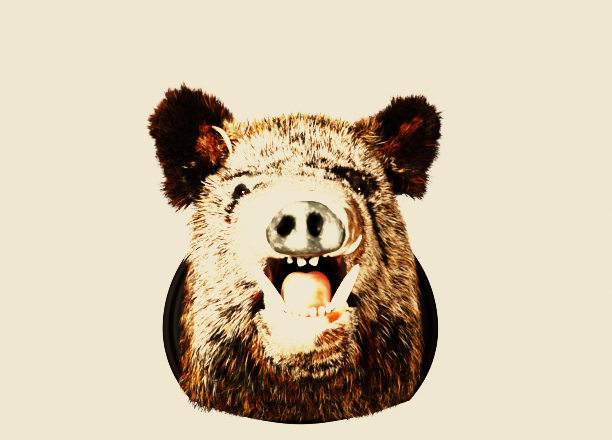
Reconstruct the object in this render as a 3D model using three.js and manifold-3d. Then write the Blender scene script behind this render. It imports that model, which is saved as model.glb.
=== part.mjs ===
// A mounted wild boar: the head and neck of a grown male with its mouth open, on a wooden wall shield.
// Millimetres, +Z up. The origin is on the flat back of the shield, at the height where the shield is
// widest. The wall is on the +Y side, the boar looks along -Y, and +X is its left side.
// "Reach" is how far something stands out from the wall, so a point's Y is minus its reach.
import * as THREE from "three";
import { LoftGeometry } from "three/addons/geometries/LoftGeometry.js";
import { mergeVertices } from "three/addons/utils/BufferGeometryUtils.js";
import Module from "manifold-3d";

// ---- Driving dimensions -----------------------------------------------------------------------

const gap = 0.3; // clearance between pieces that touch
const tolerance = 0.14; // how far a surface may move when needless triangles are merged

const shield = {
  halfWidth: 198,
  topHeight: 190,
  sideDrop: 170, // vertical half axis of the curve below the widest line
  cornerHeight: -105, // where the side curve meets the bottom edge
  cornerRise: 0.8, // how far the corner rises for each millimetre that an outline is inset
  bottomHeight: -139,
  bottomBend: 60, // half width at which the bottom edge has flattened out
  slab: 13, // thickness of the moulded lower tier
  panel: 8, // thickness of the raised panel on it
  panelInset: 13,
  edgeRound: 3,
};

// A steel plate let into the back of the shield, with a keyhole: a wide hole for a screw's head and a
// narrow slot above it. A pocket in the wood behind it takes the screw's head.
const hanger = {
  width: 20,
  height: 62,
  thickness: 2.4,
  centreHeight: 120,
  headRadius: 6,
  headDrop: 8, // how far the wide hole lies below the middle of the plate
  slotRadius: 3,
  slotRise: 12, // how far the end of the slot lies above the middle
  pocket: { width: 14, depth: 9, height: 36, rise: 2 },
};

// Cross sections of the neck, skull and upper snout, from the shield to the nose.
// reach, top and bottom heights, half width, height of the widest line, squareness above and below it.
const bodyRows = [
  [21.3, 158, -133, 166, -30, 2.1, 3.0],
  [60, 180, -135, 166, -28, 2.1, 3.0],
  [120, 210, -135, 163, -22, 2.1, 3.0],
  [185, 236, -131, 156, -14, 2.2, 2.9],
  [250, 248, -126, 146, -4, 2.3, 2.7],
  [308, 233, -120, 135, 14, 2.5, 2.6],
  [352, 197, -114, 119, 30, 2.6, 2.4],
  [392, 160, -104, 102, 42, 2.6, 2.3],
  [428, 135, -62, 87, 48, 2.6, 2.3],
  [465, 117, -8, 76, 48, 2.6, 2.3],
  [505, 102, 10, 67, 46, 2.5, 2.4],
  [545, 89, 13, 60, 44, 2.4, 2.6],
  [580, 77, 11, 50, 41, 2.3, 2.6],
  [604, 70, 10, 43, 39, 2.3, 2.6],
];

// The lower jaw, hanging open, from inside the cheeks to the chin.
const jawRows = [
  [345, -30, -117, 72, -72, 2.2, 2.3],
  [390, -16, -114, 66, -66, 2.3, 2.3],
  [440, -10, -108, 59, -58, 2.5, 2.3],
  [490, -14, -102, 52, -53, 2.8, 2.3],
  [530, -20, -97, 48, -52, 2.8, 2.3],
  [560, -33, -92, 43, -55, 2.8, 2.3],
  [580, -46, -86, 35, -61, 2.5, 2.2],
  [592, -54, -79, 24, -64, 2.3, 2.1],
  [598, -60, -71, 11, -65, 2.0, 2.0],
];

// The hollow of the mouth, from the throat to just behind the front teeth.
const mouthRows = [
  [368, -14, -30, 12, -22, 2.0, 2.0],
  [385, 0, -38, 24, -20, 2.2, 2.2],
  [430, 15, -45, 34, -16, 2.4, 2.4],
  [490, 23, -50, 38, -12, 2.5, 2.5],
  [540, 26, -54, 36, -12, 2.5, 2.5],
  [572, 24, -55, 29, -14, 2.5, 2.5],
  [583, 18, -50, 20, -16, 2.2, 2.2],
];

const tongueRows = [
  [384, -10, -60, 22, -28, 2.6, 2.2],
  [430, 3, -60, 27, -26, 3.0, 2.2],
  [480, 9, -60, 28, -24, 3.1, 2.2],
  [518, 5, -60, 27, -26, 3.0, 2.2],
  [548, -9, -62, 24, -34, 2.8, 2.2],
  [568, -26, -64, 18, -44, 2.4, 2.2],
  [577, -38, -64, 9, -50, 2.2, 2.2],
];

const nosePad = {
  reach: 604.3,
  depth: 17,
  halfWidth: 41,
  topHeight: 67,
  bottomHeight: 9.5,
  edgeRound: 5,
  widestShare: 0.42, // where the pad is widest, between its bottom and its top
  flatShare: 0.62, // how much of the half width is flat at the bottom
  archShare: 0.55, // how broad the arch is at the top
  cornerBend: 9,
  cornerShare: 0.95,
  nostrilSide: 15.5,
  nostrilShift: -4, // the nose is a little crooked: both nostrils lie this far to one side
  nostrilHeight: 39,
  nostrilHalfWidth: 6.5,
  nostrilHalfHeight: 13,
  nostrilDepth: 15,
  nostrilLean: 0.25, // radians, tops leaning together
};

// An eye lies in a hollow scooped out of the side of the head under the brow.
const eye = { radius: 12.5, side: 65.5, reach: 397, height: 118, hollow: [27, 26, 19], hollowOut: 16 };

// An ear is a cupped leaf: its base on the skull, its axis out and up, its hollow facing forward.
const ear = {
  baseSide: 98,
  baseReach: 288,
  baseHeight: 179,
  rise: 0.7, // radians above the horizontal
  turn: 0.3, // radians that the hollow turns outwards
  length: 115,
  thickness: 7,
  thinning: 0.35, // how much of the thickness is lost on each face at the edges
  cupLevel: 0.65, // where the cup crosses the axis: 0 in its middle, 1 at its edges
  rings: 12,
  steps: 8,
};
const earForward = { left: -0.25, right: 0.1 }; // radians that each tip leans towards the nose
// How far along the ear (0 to 1), widths above and below its axis, and depth of the cup.
const earRows = [
  [-0.22, 38, 42, 24],
  [0.0, 47, 60, 32],
  [0.2, 51, 65, 34],
  [0.42, 52, 59, 29],
  [0.64, 50, 49, 21],
  [0.84, 43, 39, 13],
  [0.95, 31, 27, 6],
  [1.0, 15, 15, 3],
];

// Tusks: side, reach and height of the points on each curve, root first. A higher taper keeps a tusk
// thick nearer to its tip.
const lowerTusk = {
  points: [[20, 548, -66], [28, 552, -38], [39, 550, -14], [55, 541, 9]],
  rootRadius: 7,
  tipRadius: 2.6,
  taper: 4,
};
const upperTusk = {
  points: [[35, 538, 33], [43, 545, 25], [52, 549, 27], [60, 547, 39]],
  rootRadius: 7,
  tipRadius: 2.4,
  taper: 2.5,
};

// Front teeth: side, reach, height of the middle, half width, length, forward lean in radians.
const tooth = { rootShare: 0.8, flatness: 0.62, around: 10 };
const upperTeeth = [
  [6.0, 591, 9, 5.2, 15, 0.25],
  [15.6, 587, 11, 2.8, 12, 0.15],
  [23.0, 578, 12, 2.2, 10, 0.0],
];
const lowerTeeth = [
  [4.6, 584, -47, 3.8, 19, 0.7],
  [12.6, 581, -47, 3.6, 18, 0.6],
  [20.0, 574, -43, 2.8, 16, 0.4],
];

// The head leans over to one side: the neck twists to this angle, in radians, between two reaches.
const twist = { angle: 0.035, from: 30, to: 180, axisHeight: 30 };

// The plane where the head leaves the neck: reach at the body's middle height, and its lean.
const headCut = { reach: 236, middleHeight: 50, lean: 0.28 };

const farAway = 1200; // size of a block that reaches past the whole model

// Rings along and points around each long form.
const bodyDetail = [36, 32];
const jawDetail = [20, 28];
const mouthDetail = [12, 20];
const tongueDetail = [14, 20];
const tuskDetail = [8, 10];
const nostrilDetail = [14, 10];
const eyeDetail = [14, 10];
const eyeHollowDetail = [16, 12];

// ---- Materials ---------------------------------------------------------------------------------

const materials = {
  hide: new THREE.MeshStandardMaterial({ color: 0xa08a66, roughness: 0.9, metalness: 0 }),
  earHide: new THREE.MeshStandardMaterial({ color: 0x2a1c14, roughness: 0.9, metalness: 0 }),
  nose: new THREE.MeshStandardMaterial({ color: 0x8a867c, roughness: 0.55, metalness: 0 }),
  tongue: new THREE.MeshStandardMaterial({ color: 0xe09a86, roughness: 0.35, metalness: 0 }),
  ivory: new THREE.MeshStandardMaterial({ color: 0xf0e8d2, roughness: 0.3, metalness: 0 }),
  eye: new THREE.MeshStandardMaterial({ color: 0x120b08, roughness: 0.08, metalness: 0 }),
  wood: new THREE.MeshStandardMaterial({ color: 0x20140d, roughness: 0.45, metalness: 0 }),
  steel: new THREE.MeshStandardMaterial({ color: 0x9a9a98, roughness: 0.4, metalness: 0.9 }),
};

// ---- Tools -------------------------------------------------------------------------------------

const wasm = await Module();
wasm.setup();

// A closed geometry as a solid that can be cut and joined.
function solidOf(geometry) {
  const bare = new THREE.BufferGeometry();
  bare.setAttribute("position", geometry.getAttribute("position"));
  bare.setIndex(geometry.index);
  const merged = mergeVertices(bare, 1e-4);
  const mesh = new wasm.Mesh({
    numProp: 3,
    vertProperties: new Float32Array(merged.attributes.position.array),
    triVerts: new Uint32Array(merged.index.array),
  });
  return new wasm.Manifold(mesh);
}

// The largest single body of a solid, as a geometry: slivers left by a cut are dropped.
function geometryOf(solid) {
  const bodies = solid.decompose();
  const largest = bodies.reduce((a, b) => (b.volume() > a.volume() ? b : a));
  const mesh = largest.getMesh();
  const geometry = new THREE.BufferGeometry();
  geometry.setAttribute("position", new THREE.BufferAttribute(mesh.vertProperties, 3));
  geometry.setIndex(new THREE.BufferAttribute(mesh.triVerts, 1));
  geometry.computeVertexNormals();
  return geometry;
}

// One column of a table as a smooth curve: t is 0 at the first row and 1 at the last.
function smooth(rows, column) {
  return new THREE.SplineCurve(rows.map((row, i) => new THREE.Vector2(i, row[column])));
}

// A rounded cross section at one reach. Above and below its widest line it is half a superellipse.
function section([reach, top, bottom, halfWidth, widest, squareTop, squareBottom], around, grow) {
  const ring = [];
  for (let i = 0; i < around; i++) {
    const angle = (i / around) * 2 * Math.PI;
    const [cosine, sine] = [Math.cos(angle), Math.sin(angle)];
    const power = 2 / (sine > 0 ? squareTop : squareBottom);
    const half = (sine > 0 ? top - widest : widest - bottom) + grow;
    const x = Math.sign(cosine) * Math.abs(cosine) ** power * (halfWidth + grow);
    const z = Math.sign(sine) * Math.abs(sine) ** power * half + widest;
    ring.push(new THREE.Vector3(x, -reach, z));
  }
  return ring;
}

// A solid through the cross sections of a table, grown outwards by `grow`.
function bodySolid(rows, [rings, around], grow = 0) {
  const columns = rows[0].map((_, column) => smooth(rows, column));
  const sections = [];
  for (let i = 0; i <= rings; i++) {
    const values = columns.map((curve) => curve.getPoint(i / rings).y);
    if (i === 0) values[0] -= grow;
    if (i === rings) values[0] += grow;
    sections.push(section(values, around, grow));
  }
  return solidOf(new LoftGeometry(sections, { capStart: true, capEnd: true }));
}

// A curved, tapering round tusk. `side` is -1 or 1.
function tuskSolid(tusk, side, grow = 0) {
  const [rings, around] = tuskDetail;
  const curve = new THREE.CatmullRomCurve3(
    tusk.points.map(([x, reach, z]) => new THREE.Vector3(side * x, -reach, z)),
  );
  const frames = curve.computeFrenetFrames(rings);
  const sections = [];
  for (let i = 0; i <= rings; i++) {
    const share = i / rings;
    const radius = THREE.MathUtils.lerp(tusk.rootRadius, tusk.tipRadius, share ** tusk.taper) + grow;
    const centre = curve.getPointAt(share).addScaledVector(frames.tangents[i], i === rings ? grow : 0);
    const ring = [];
    for (let j = 0; j < around; j++) {
      const angle = (j / around) * 2 * Math.PI;
      ring.push(
        centre
          .clone()
          .addScaledVector(frames.normals[i], radius * Math.cos(angle))
          .addScaledVector(frames.binormals[i], radius * Math.sin(angle)),
      );
    }
    sections.push(ring);
  }
  return solidOf(new LoftGeometry(sections, { capStart: true, capEnd: true }));
}

// A front tooth: a flattened peg, narrower at its root. `up` is 1 for a tooth of the lower jaw.
function toothSolid([x, reach, z, halfWidth, length, lean], side, up, grow = 0) {
  const above = grow + (up > 0 ? halfWidth : halfWidth * tooth.rootShare);
  const below = grow + (up > 0 ? halfWidth * tooth.rootShare : halfWidth);
  const geometry = new THREE.CylinderGeometry(above, below, length + 2 * grow, tooth.around, 1);
  geometry.scale(1, 1, tooth.flatness);
  geometry.rotateX(Math.PI / 2 + up * lean);
  geometry.translate(side * x, -reach, z);
  return solidOf(geometry);
}

// ---- Pieces ------------------------------------------------------------------------------------

function shieldOutline(inset) {
  const halfWidth = shield.halfWidth - inset;
  const sideDrop = shield.sideDrop - inset;
  const cornerHeight = shield.cornerHeight + inset * shield.cornerRise;
  const cornerAngle = Math.asin(-cornerHeight / sideDrop);
  const cornerSide = halfWidth * Math.cos(cornerAngle);
  const bottom = shield.bottomHeight + inset;
  const outline = new THREE.Shape();
  outline.moveTo(halfWidth, 0);
  outline.absellipse(0, 0, halfWidth, shield.topHeight - inset, 0, Math.PI, false, 0);
  outline.absellipse(0, 0, halfWidth, sideDrop, Math.PI, Math.PI + cornerAngle, false, 0);
  outline.quadraticCurveTo(-shield.bottomBend, bottom, 0, bottom);
  outline.quadraticCurveTo(shield.bottomBend, bottom, cornerSide, cornerHeight);
  outline.absellipse(0, 0, halfWidth, sideDrop, -cornerAngle, 0, false, 0);
  return outline;
}

// One tier of the shield, with its front edge rounded over, standing `from` millimetres off the wall.
function shieldTier(inset, from, thickness) {
  const round = shield.edgeRound;
  const geometry = new THREE.ExtrudeGeometry(shieldOutline(inset + round), {
    depth: thickness - round,
    bevelThickness: round,
    bevelSize: round,
    bevelSegments: 2,
    curveSegments: 12,
  });
  geometry.rotateX(Math.PI / 2);
  geometry.translate(0, -from, 0);
  const block = new THREE.BoxGeometry(farAway, thickness, farAway);
  block.translate(0, -from - thickness / 2, 0);
  return solidOf(geometry).intersect(solidOf(block));
}

function keyholeOutline() {
  const hole = new THREE.Path();
  const { headRadius, headDrop, slotRadius, slotRise } = hanger;
  const join = Math.asin(slotRadius / headRadius);
  hole.absarc(0, -headDrop, headRadius, Math.PI / 2 + join, Math.PI / 2 - join + 2 * Math.PI, false);
  hole.absarc(0, slotRise, slotRadius, 0, Math.PI, false);
  return hole;
}

// The plate itself when `holed`, or else the recess that it sits in.
function hangerSolid(grow, holed) {
  const { width, height, thickness } = hanger;
  const plate = new THREE.Shape();
  const end = width / 2 + grow;
  const straight = (height - width) / 2;
  plate.absarc(0, straight, end, 0, Math.PI, false);
  plate.absarc(0, -straight, end, Math.PI, 2 * Math.PI, false);
  if (holed) plate.holes.push(keyholeOutline());
  const depth = thickness + (holed ? 0 : 2 * gap);
  const geometry = new THREE.ExtrudeGeometry(plate, { depth, bevelEnabled: false, curveSegments: 8 });
  geometry.rotateX(Math.PI / 2);
  geometry.translate(0, holed ? -gap : 0, hanger.centreHeight);
  return solidOf(geometry);
}

function hangerPocket() {
  const { width, depth, height, rise } = hanger.pocket;
  const pocket = new THREE.BoxGeometry(width, depth, height);
  pocket.translate(0, -hanger.thickness - depth / 2, hanger.centreHeight + rise);
  return solidOf(pocket);
}

function shieldSolid() {
  const lower = shieldTier(0, 0, shield.slab);
  const upper = shieldTier(shield.panelInset, shield.slab - 1, shield.panel + 1);
  return lower.add(upper).subtract(hangerSolid(gap, false)).subtract(hangerPocket());
}

// The bare pad of the nose, flat below and arched above, with its two nostrils.
function nosePadOutline() {
  const { halfWidth, topHeight, bottomHeight, edgeRound, cornerBend } = nosePad;
  const [low, high, wide] = [bottomHeight + edgeRound, topHeight - edgeRound, halfWidth - edgeRound];
  const middle = THREE.MathUtils.lerp(bottomHeight, topHeight, nosePad.widestShare);
  const [flat, arch, corner] = ["flatShare", "archShare", "cornerShare"].map((name) => wide * nosePad[name]);
  const outline = new THREE.Shape();
  outline.moveTo(-flat, low);
  outline.lineTo(flat, low);
  outline.bezierCurveTo(corner, low, wide, low + cornerBend, wide, middle);
  outline.bezierCurveTo(wide, high - cornerBend, arch, high, 0, high);
  outline.bezierCurveTo(-arch, high, -wide, high - cornerBend, -wide, middle);
  outline.bezierCurveTo(-wide, low + cornerBend, -corner, low, -flat, low);
  return outline;
}

function nostrilSolid(side) {
  const nostril = new THREE.SphereGeometry(1, ...nostrilDetail);
  nostril.scale(nosePad.nostrilHalfWidth, nosePad.nostrilDepth, nosePad.nostrilHalfHeight);
  nostril.rotateY(-side * nosePad.nostrilLean);
  const across = side * nosePad.nostrilSide + nosePad.nostrilShift;
  nostril.translate(across, -nosePad.reach - nosePad.depth, nosePad.nostrilHeight);
  return solidOf(nostril);
}

function nosePadSolid() {
  const geometry = new THREE.ExtrudeGeometry(nosePadOutline(), {
    depth: nosePad.depth - nosePad.edgeRound,
    bevelThickness: nosePad.edgeRound,
    bevelSize: nosePad.edgeRound,
    bevelSegments: 3,
    curveSegments: 6,
  });
  geometry.rotateX(Math.PI / 2);
  geometry.translate(0, -nosePad.reach, 0);
  const block = new THREE.BoxGeometry(farAway, nosePad.depth, farAway);
  block.translate(0, -nosePad.reach - nosePad.depth / 2, 0);
  const pad = solidOf(geometry).intersect(solidOf(block));
  return pad.subtract(nostrilSolid(-1)).subtract(nostrilSolid(1));
}

function eyeSolid(side, grow = 0) {
  const ball = new THREE.SphereGeometry(eye.radius + grow, ...eyeDetail);
  ball.translate(side * eye.side, -eye.reach, eye.height);
  return solidOf(ball);
}

function eyeHollowSolid(side) {
  const hollow = new THREE.SphereGeometry(1, ...eyeHollowDetail);
  hollow.scale(...eye.hollow);
  hollow.translate(side * (eye.side + eye.hollowOut), -eye.reach - eye.hollowOut, eye.height);
  return solidOf(hollow);
}

// The directions of an ear: along it, the way its hollow faces, and across it.
function earDirections(name, side) {
  const forward = earForward[name];
  const along = new THREE.Vector3(
    side * Math.cos(ear.rise) * Math.cos(forward),
    -Math.sin(forward),
    Math.sin(ear.rise) * Math.cos(forward),
  );
  const facing = new THREE.Vector3(side * Math.sin(ear.turn), -Math.cos(ear.turn), 0);
  facing.addScaledVector(along, -facing.dot(along)).normalize();
  return { along, facing, across: new THREE.Vector3().crossVectors(facing, along) };
}

// A ring round the ear: out along its back from one edge to the other, then home along the hollow side.
function earRing(centre, [above, below, cup], side, { facing, across }) {
  const ring = [];
  for (const face of [-1, 1]) {
    for (let j = 0; j <= ear.steps; j++) {
      const u = face * (1 - (2 * j) / ear.steps);
      const half = ear.thickness * (0.5 - ear.thinning * u * u);
      const width = u * side > 0 ? above : below;
      const point = centre.clone().addScaledVector(across, u * width);
      ring.push(point.addScaledVector(facing, cup * (u * u - ear.cupLevel) + face * half));
    }
  }
  return ring;
}

function earSolid(name, side) {
  const directions = earDirections(name, side);
  const base = new THREE.Vector3(side * ear.baseSide, -ear.baseReach, ear.baseHeight);
  const columns = earRows[0].map((_, column) => smooth(earRows, column));
  const sections = [];
  for (let i = 0; i <= ear.rings; i++) {
    const [share, ...shape] = columns.map((curve) => curve.getPoint(i / ear.rings).y);
    const centre = base.clone().addScaledVector(directions.along, share * ear.length);
    sections.push(earRing(centre, shape, side, directions));
  }
  return solidOf(new LoftGeometry(sections, { capStart: true, capEnd: true }));
}

// Half of space, on the nose side of the head cut when `ahead` is 1 and on the wall side when it is -1.
function halfSpace(ahead) {
  const block = new THREE.BoxGeometry(farAway, farAway, farAway);
  block.translate(0, (-ahead * (farAway + gap)) / 2, 0);
  block.rotateX(-headCut.lean);
  block.translate(0, -headCut.reach, headCut.middleHeight);
  return solidOf(block);
}

const sides = { left: 1, right: -1 };

const mouth = bodySolid(mouthRows, mouthDetail);
const body = bodySolid(bodyRows, bodyDetail).subtract(mouth);
const bodyGrown = bodySolid(bodyRows, bodyDetail, gap);

let head = body.intersect(halfSpace(1));
let jaw = bodySolid(jawRows, jawDetail).subtract(bodyGrown).subtract(mouth);
let tongue = bodySolid(tongueRows, tongueDetail).intersect(bodySolid(mouthRows, mouthDetail, -gap));
const neck = body.intersect(halfSpace(-1));

for (const side of Object.values(sides)) {
  const lowerTuskHole = tuskSolid(lowerTusk, side, gap);
  head = head.subtract(eyeHollowSolid(side)).subtract(eyeSolid(side, gap));
  head = head.subtract(tuskSolid(upperTusk, side, gap)).subtract(lowerTuskHole);
  jaw = jaw.subtract(lowerTuskHole);
  tongue = tongue.subtract(lowerTuskHole);
  for (const upper of upperTeeth) head = head.add(toothSolid(upper, side, -1));
  for (const lower of lowerTeeth) {
    jaw = jaw.add(toothSolid(lower, side, 1));
    tongue = tongue.subtract(toothSolid(lower, side, 1, gap));
  }
}

// ---- The model ---------------------------------------------------------------------------------

const boar = new THREE.Group();

// Turns a point of the boar about the twist axis by its share of the lean.
function twistPoint(point) {
  const angle = twist.angle * THREE.MathUtils.smoothstep(-point[1], twist.from, twist.to);
  const [x, z] = [point[0], point[2] - twist.axisHeight];
  point[0] = x * Math.cos(angle) - z * Math.sin(angle);
  point[2] = x * Math.sin(angle) + z * Math.cos(angle) + twist.axisHeight;
}

function place(name, solid, material) {
  const mesh = new THREE.Mesh(geometryOf(solid.simplify(tolerance)), material);
  mesh.name = name;
  boar.add(mesh);
}

function placeTwisted(name, solid, material) {
  place(name, solid.warp(twistPoint), material);
}

place("shield", shieldSolid(), materials.wood);
place("hanger", hangerSolid(0, true), materials.steel);
placeTwisted("neck", neck, materials.hide);
placeTwisted("head", head, materials.hide);
placeTwisted("jaw", jaw, materials.hide);
placeTwisted("nose_pad", nosePadSolid(), materials.nose);
placeTwisted("tongue", tongue, materials.tongue);
for (const [name, side] of Object.entries(sides)) {
  placeTwisted("ear_" + name, earSolid(name, side).subtract(bodyGrown), materials.earHide);
  placeTwisted("eye_" + name, eyeSolid(side), materials.eye);
  placeTwisted("tusk_lower_" + name, tuskSolid(lowerTusk, side), materials.ivory);
  placeTwisted("tusk_upper_" + name, tuskSolid(upperTusk, side), materials.ivory);
}

export default boar;
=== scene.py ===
"""A mounted wild boar: the head and neck of a grown male with an open mouth, on a dark wall shield.

Lengths are millimetres unless a line says otherwise, in the boar's own space, where the head does not lean
yet. "Reach" is how far something stands out from the wall. Places in the tables give x, reach and height, and
a point's y is minus its reach. Side 1 is the boar's left and side -1 its right.
"""
import math
from itertools import chain

import bpy
import numpy as np
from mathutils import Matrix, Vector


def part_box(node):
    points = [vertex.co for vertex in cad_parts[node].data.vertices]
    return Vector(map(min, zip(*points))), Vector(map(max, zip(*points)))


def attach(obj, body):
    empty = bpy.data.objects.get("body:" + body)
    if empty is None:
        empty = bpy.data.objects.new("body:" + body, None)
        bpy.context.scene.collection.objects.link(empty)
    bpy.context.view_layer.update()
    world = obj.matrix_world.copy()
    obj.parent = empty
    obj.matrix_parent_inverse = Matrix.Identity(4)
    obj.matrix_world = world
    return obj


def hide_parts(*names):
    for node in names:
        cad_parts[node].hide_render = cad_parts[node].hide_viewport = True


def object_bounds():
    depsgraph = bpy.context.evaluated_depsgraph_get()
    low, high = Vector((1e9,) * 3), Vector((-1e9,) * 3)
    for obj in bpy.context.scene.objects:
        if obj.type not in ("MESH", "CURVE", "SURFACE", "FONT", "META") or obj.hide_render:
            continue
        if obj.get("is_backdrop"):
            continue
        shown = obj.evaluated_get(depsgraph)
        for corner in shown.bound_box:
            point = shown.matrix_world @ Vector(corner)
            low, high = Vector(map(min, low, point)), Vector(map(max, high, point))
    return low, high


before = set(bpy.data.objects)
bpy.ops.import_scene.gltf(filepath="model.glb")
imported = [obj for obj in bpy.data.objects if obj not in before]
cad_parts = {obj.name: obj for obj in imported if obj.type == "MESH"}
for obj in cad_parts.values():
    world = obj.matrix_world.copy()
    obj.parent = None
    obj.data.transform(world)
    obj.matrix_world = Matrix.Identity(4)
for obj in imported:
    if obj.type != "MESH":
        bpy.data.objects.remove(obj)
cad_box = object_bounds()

import openvdb as vdb
from mathutils import Vector, kdtree

RANDOM = np.random.default_rng(20)
MILLIMETRE = 0.001
SIDES = {"left": 1, "right": -1}
FLIP = np.array([1.0, -1.0, 1.0])  # turns x, reach and height into x, y and z, and back

# ---- The boar's space ----

# The head leans over to one side: the neck twists by this angle, in radians, between two reaches.
LEAN = {"angle": 0.035, "from": 30, "to": 180, "height": 30}


def ramp(value, low, high):
    """0 below low, 1 above high, and a smooth rise between them."""
    share = np.clip((value - low) / (high - low), 0, 1)
    return share * share * (3 - 2 * share)


def lean(points, way):
    """Turns points about the lean's axis: way 1 puts the lean on and -1 takes it off."""
    angle = way * LEAN["angle"] * ramp(-points[:, 1], LEAN["from"], LEAN["to"])
    x, z = points[:, 0], points[:, 2] - LEAN["height"]
    turned = np.array(points, dtype=np.float64)
    turned[:, 0] = x * np.cos(angle) - z * np.sin(angle)
    turned[:, 2] = x * np.sin(angle) + z * np.cos(angle) + LEAN["height"]
    return turned


def spots(points):
    """The x, the reach and the height of every point."""
    return points[:, 0], -points[:, 1], points[:, 2]


def normalized(vectors):
    return vectors / np.maximum(np.linalg.norm(vectors, axis=-1, keepdims=True), 1e-9)


def across(vectors, normals):
    """The part of each vector that lies along the surface with these normals."""
    return vectors - normals * (vectors * normals).sum(axis=1, keepdims=True)


def circle(count):
    """Even angles round a full turn."""
    return np.linspace(0, 2 * math.pi, count, endpoint=False)


def spline(rows, count):
    """Points at even steps of a smooth curve through the rows of a table."""
    rows = np.asarray(rows, dtype=float)
    padded = np.vstack([2 * rows[0] - rows[1], rows, 2 * rows[-1] - rows[-2]])
    place = np.linspace(0, len(rows) - 1, count)
    first = np.minimum(place.astype(int), len(rows) - 2)
    t = (place - first)[:, None]
    a, b, c, d = (padded[first + i] for i in range(4))
    return 0.5 * (2 * b + (c - a) * t + (2 * a - 5 * b + 4 * c - d) * t**2 + (3 * b - a - 3 * c + d) * t**3)


def waves(points, size, seed, count=7):
    """A smooth random pattern from about -1 to 1, whose waves are about `size` long."""
    source = np.random.default_rng(seed)
    directions = normalized(source.normal(size=(count, 3))) * source.uniform(0.6, 1.5, (count, 1))
    phases = source.uniform(0, 2 * math.pi, count)
    return np.sin(points @ directions.T * (2 * math.pi / size) + phases).sum(axis=1) / math.sqrt(count)


def read_mesh(mesh):
    """A mesh's corners as the frame has them, in millimetres, and its triangles."""
    mesh.calc_loop_triangles()
    corners = np.empty(len(mesh.vertices) * 3)
    mesh.vertices.foreach_get("co", corners)
    triangles = np.empty(len(mesh.loop_triangles) * 3, dtype=np.int32)
    mesh.loop_triangles.foreach_get("vertices", triangles)
    return corners.reshape(-1, 3) / MILLIMETRE, triangles.reshape(-1, 3)


def node_shape(name):
    """A CAD node's corners with the lean taken off, and its triangles."""
    corners, triangles = read_mesh(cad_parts[name].data)
    unique, place = np.unique(np.round(corners, 3), axis=0, return_inverse=True)
    return lean(unique, -1), place.ravel()[triangles]


def outwards(points, faces):
    """The triangles of a closed form, turned over if they look into it."""
    corners = points[faces]
    volume = np.einsum("ij,ij->i", corners[:, 0], np.cross(corners[:, 1], corners[:, 2])).sum()
    return faces if volume > 0 else faces[:, ::-1]


def store(piece, name, values):
    """Keeps a number or a colour for every corner of the mesh, under a name that its material reads."""
    values = np.asarray(values, dtype=np.float32)
    if values.ndim == 1:
        layer = piece.data.attributes.new(name=name, type="FLOAT", domain="POINT")
        layer.data.foreach_set("value", values)
    else:
        layer = piece.data.color_attributes.new(name=name, type="FLOAT_COLOR", domain="POINT")
        rgba = np.ones((len(values), 4), dtype=np.float32)
        rgba[:, :3] = np.clip(values, 0, 1)
        layer.data.foreach_set("color", rgba.ravel())


def mesh_object(name, points, faces, slot, material=None, replaced=(), **stored_values):
    """A smooth-shaded mesh piece from points in the boar's space. It rides on the part."""
    faces = np.asarray(faces, dtype=np.int32)
    corners = lean(np.asarray(points, dtype=float), 1) * MILLIMETRE
    mesh = bpy.data.meshes.new(name)
    mesh.vertices.add(len(points))
    mesh.vertices.foreach_set("co", corners.astype(np.float32).ravel())
    mesh.loops.add(faces.size)
    mesh.loops.foreach_set("vertex_index", faces.ravel())
    mesh.polygons.add(len(faces))
    mesh.polygons.foreach_set("loop_start", np.arange(0, faces.size, faces.shape[1], dtype=np.int32))
    mesh.polygons.foreach_set("use_smooth", np.ones(len(faces), dtype=bool))
    mesh.update(calc_edges=True)
    mesh.validate()
    piece = bpy.data.objects.new(name, mesh)
    bpy.context.scene.collection.objects.link(piece)
    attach(piece, "root")
    if replaced:
        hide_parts(*replaced)
    for key, values in stored_values.items():
        store(piece, key, values)
    if material:
        mesh.materials.append(material)
    return piece


# ---- The skin as a volume ----

# The skin is worked as a field of distances on a lattice: minus inside, plus outside.
STEP = 1.6
LOW = np.array([-216.0, -640.0, -152.0])
HIGH = np.array([216.0, -12.0, 294.0])
SHAPE = tuple(int(n) for n in np.ceil((HIGH - LOW) / STEP))
BAND = 16  # cells over which distances are true
SEAM = 0.5  # how far the solids swell so that the gaps between them close


def lattice():
    place = vdb.createLinearTransform(voxelSize=STEP)
    place.postTranslate(tuple(LOW))
    return place


def distances(points, triangles):
    """The field of a closed surface."""
    grid = vdb.FloatGrid.createLevelSetFromPolygons(
        points=np.asarray(points, dtype=np.float32),
        triangles=np.asarray(triangles, dtype=np.uint32),
        transform=lattice(),
        halfWidth=float(BAND),
    )
    field = np.empty(SHAPE, dtype=np.float32)
    grid.copyToArray(field)
    return field


def surface(field, level=0.0):
    """The points and triangles where the field has this level, with the faces looking outwards."""
    grid = vdb.FloatGrid(float(BAND * STEP))
    grid.copyFromArray(field)
    grid.transform = lattice()
    points, triangles, quads = grid.convertToPolygons(isovalue=level, adaptivity=0.0)
    faces = np.vstack([triangles.reshape(-1, 3), quads[:, [0, 1, 2]], quads[:, [0, 2, 3]]]).astype(np.int64)
    return points, outwards(points.astype(float), faces)


def soften(field, rounds):
    """Blurs the field a little along each axis in turn."""
    for _ in range(rounds):
        for axis in range(3):
            layers = np.moveaxis(field, axis, 0)
            layers[1:-1] = 0.25 * (layers[:-2] + layers[2:]) + 0.5 * layers[1:-1]


def melt(a, b, blend):
    """The union of two fields, with a fillet about `blend` wide."""
    overlap = np.maximum(blend - np.abs(a - b), 0) / blend
    return np.minimum(a, b) - overlap * overlap * blend / 4


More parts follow.
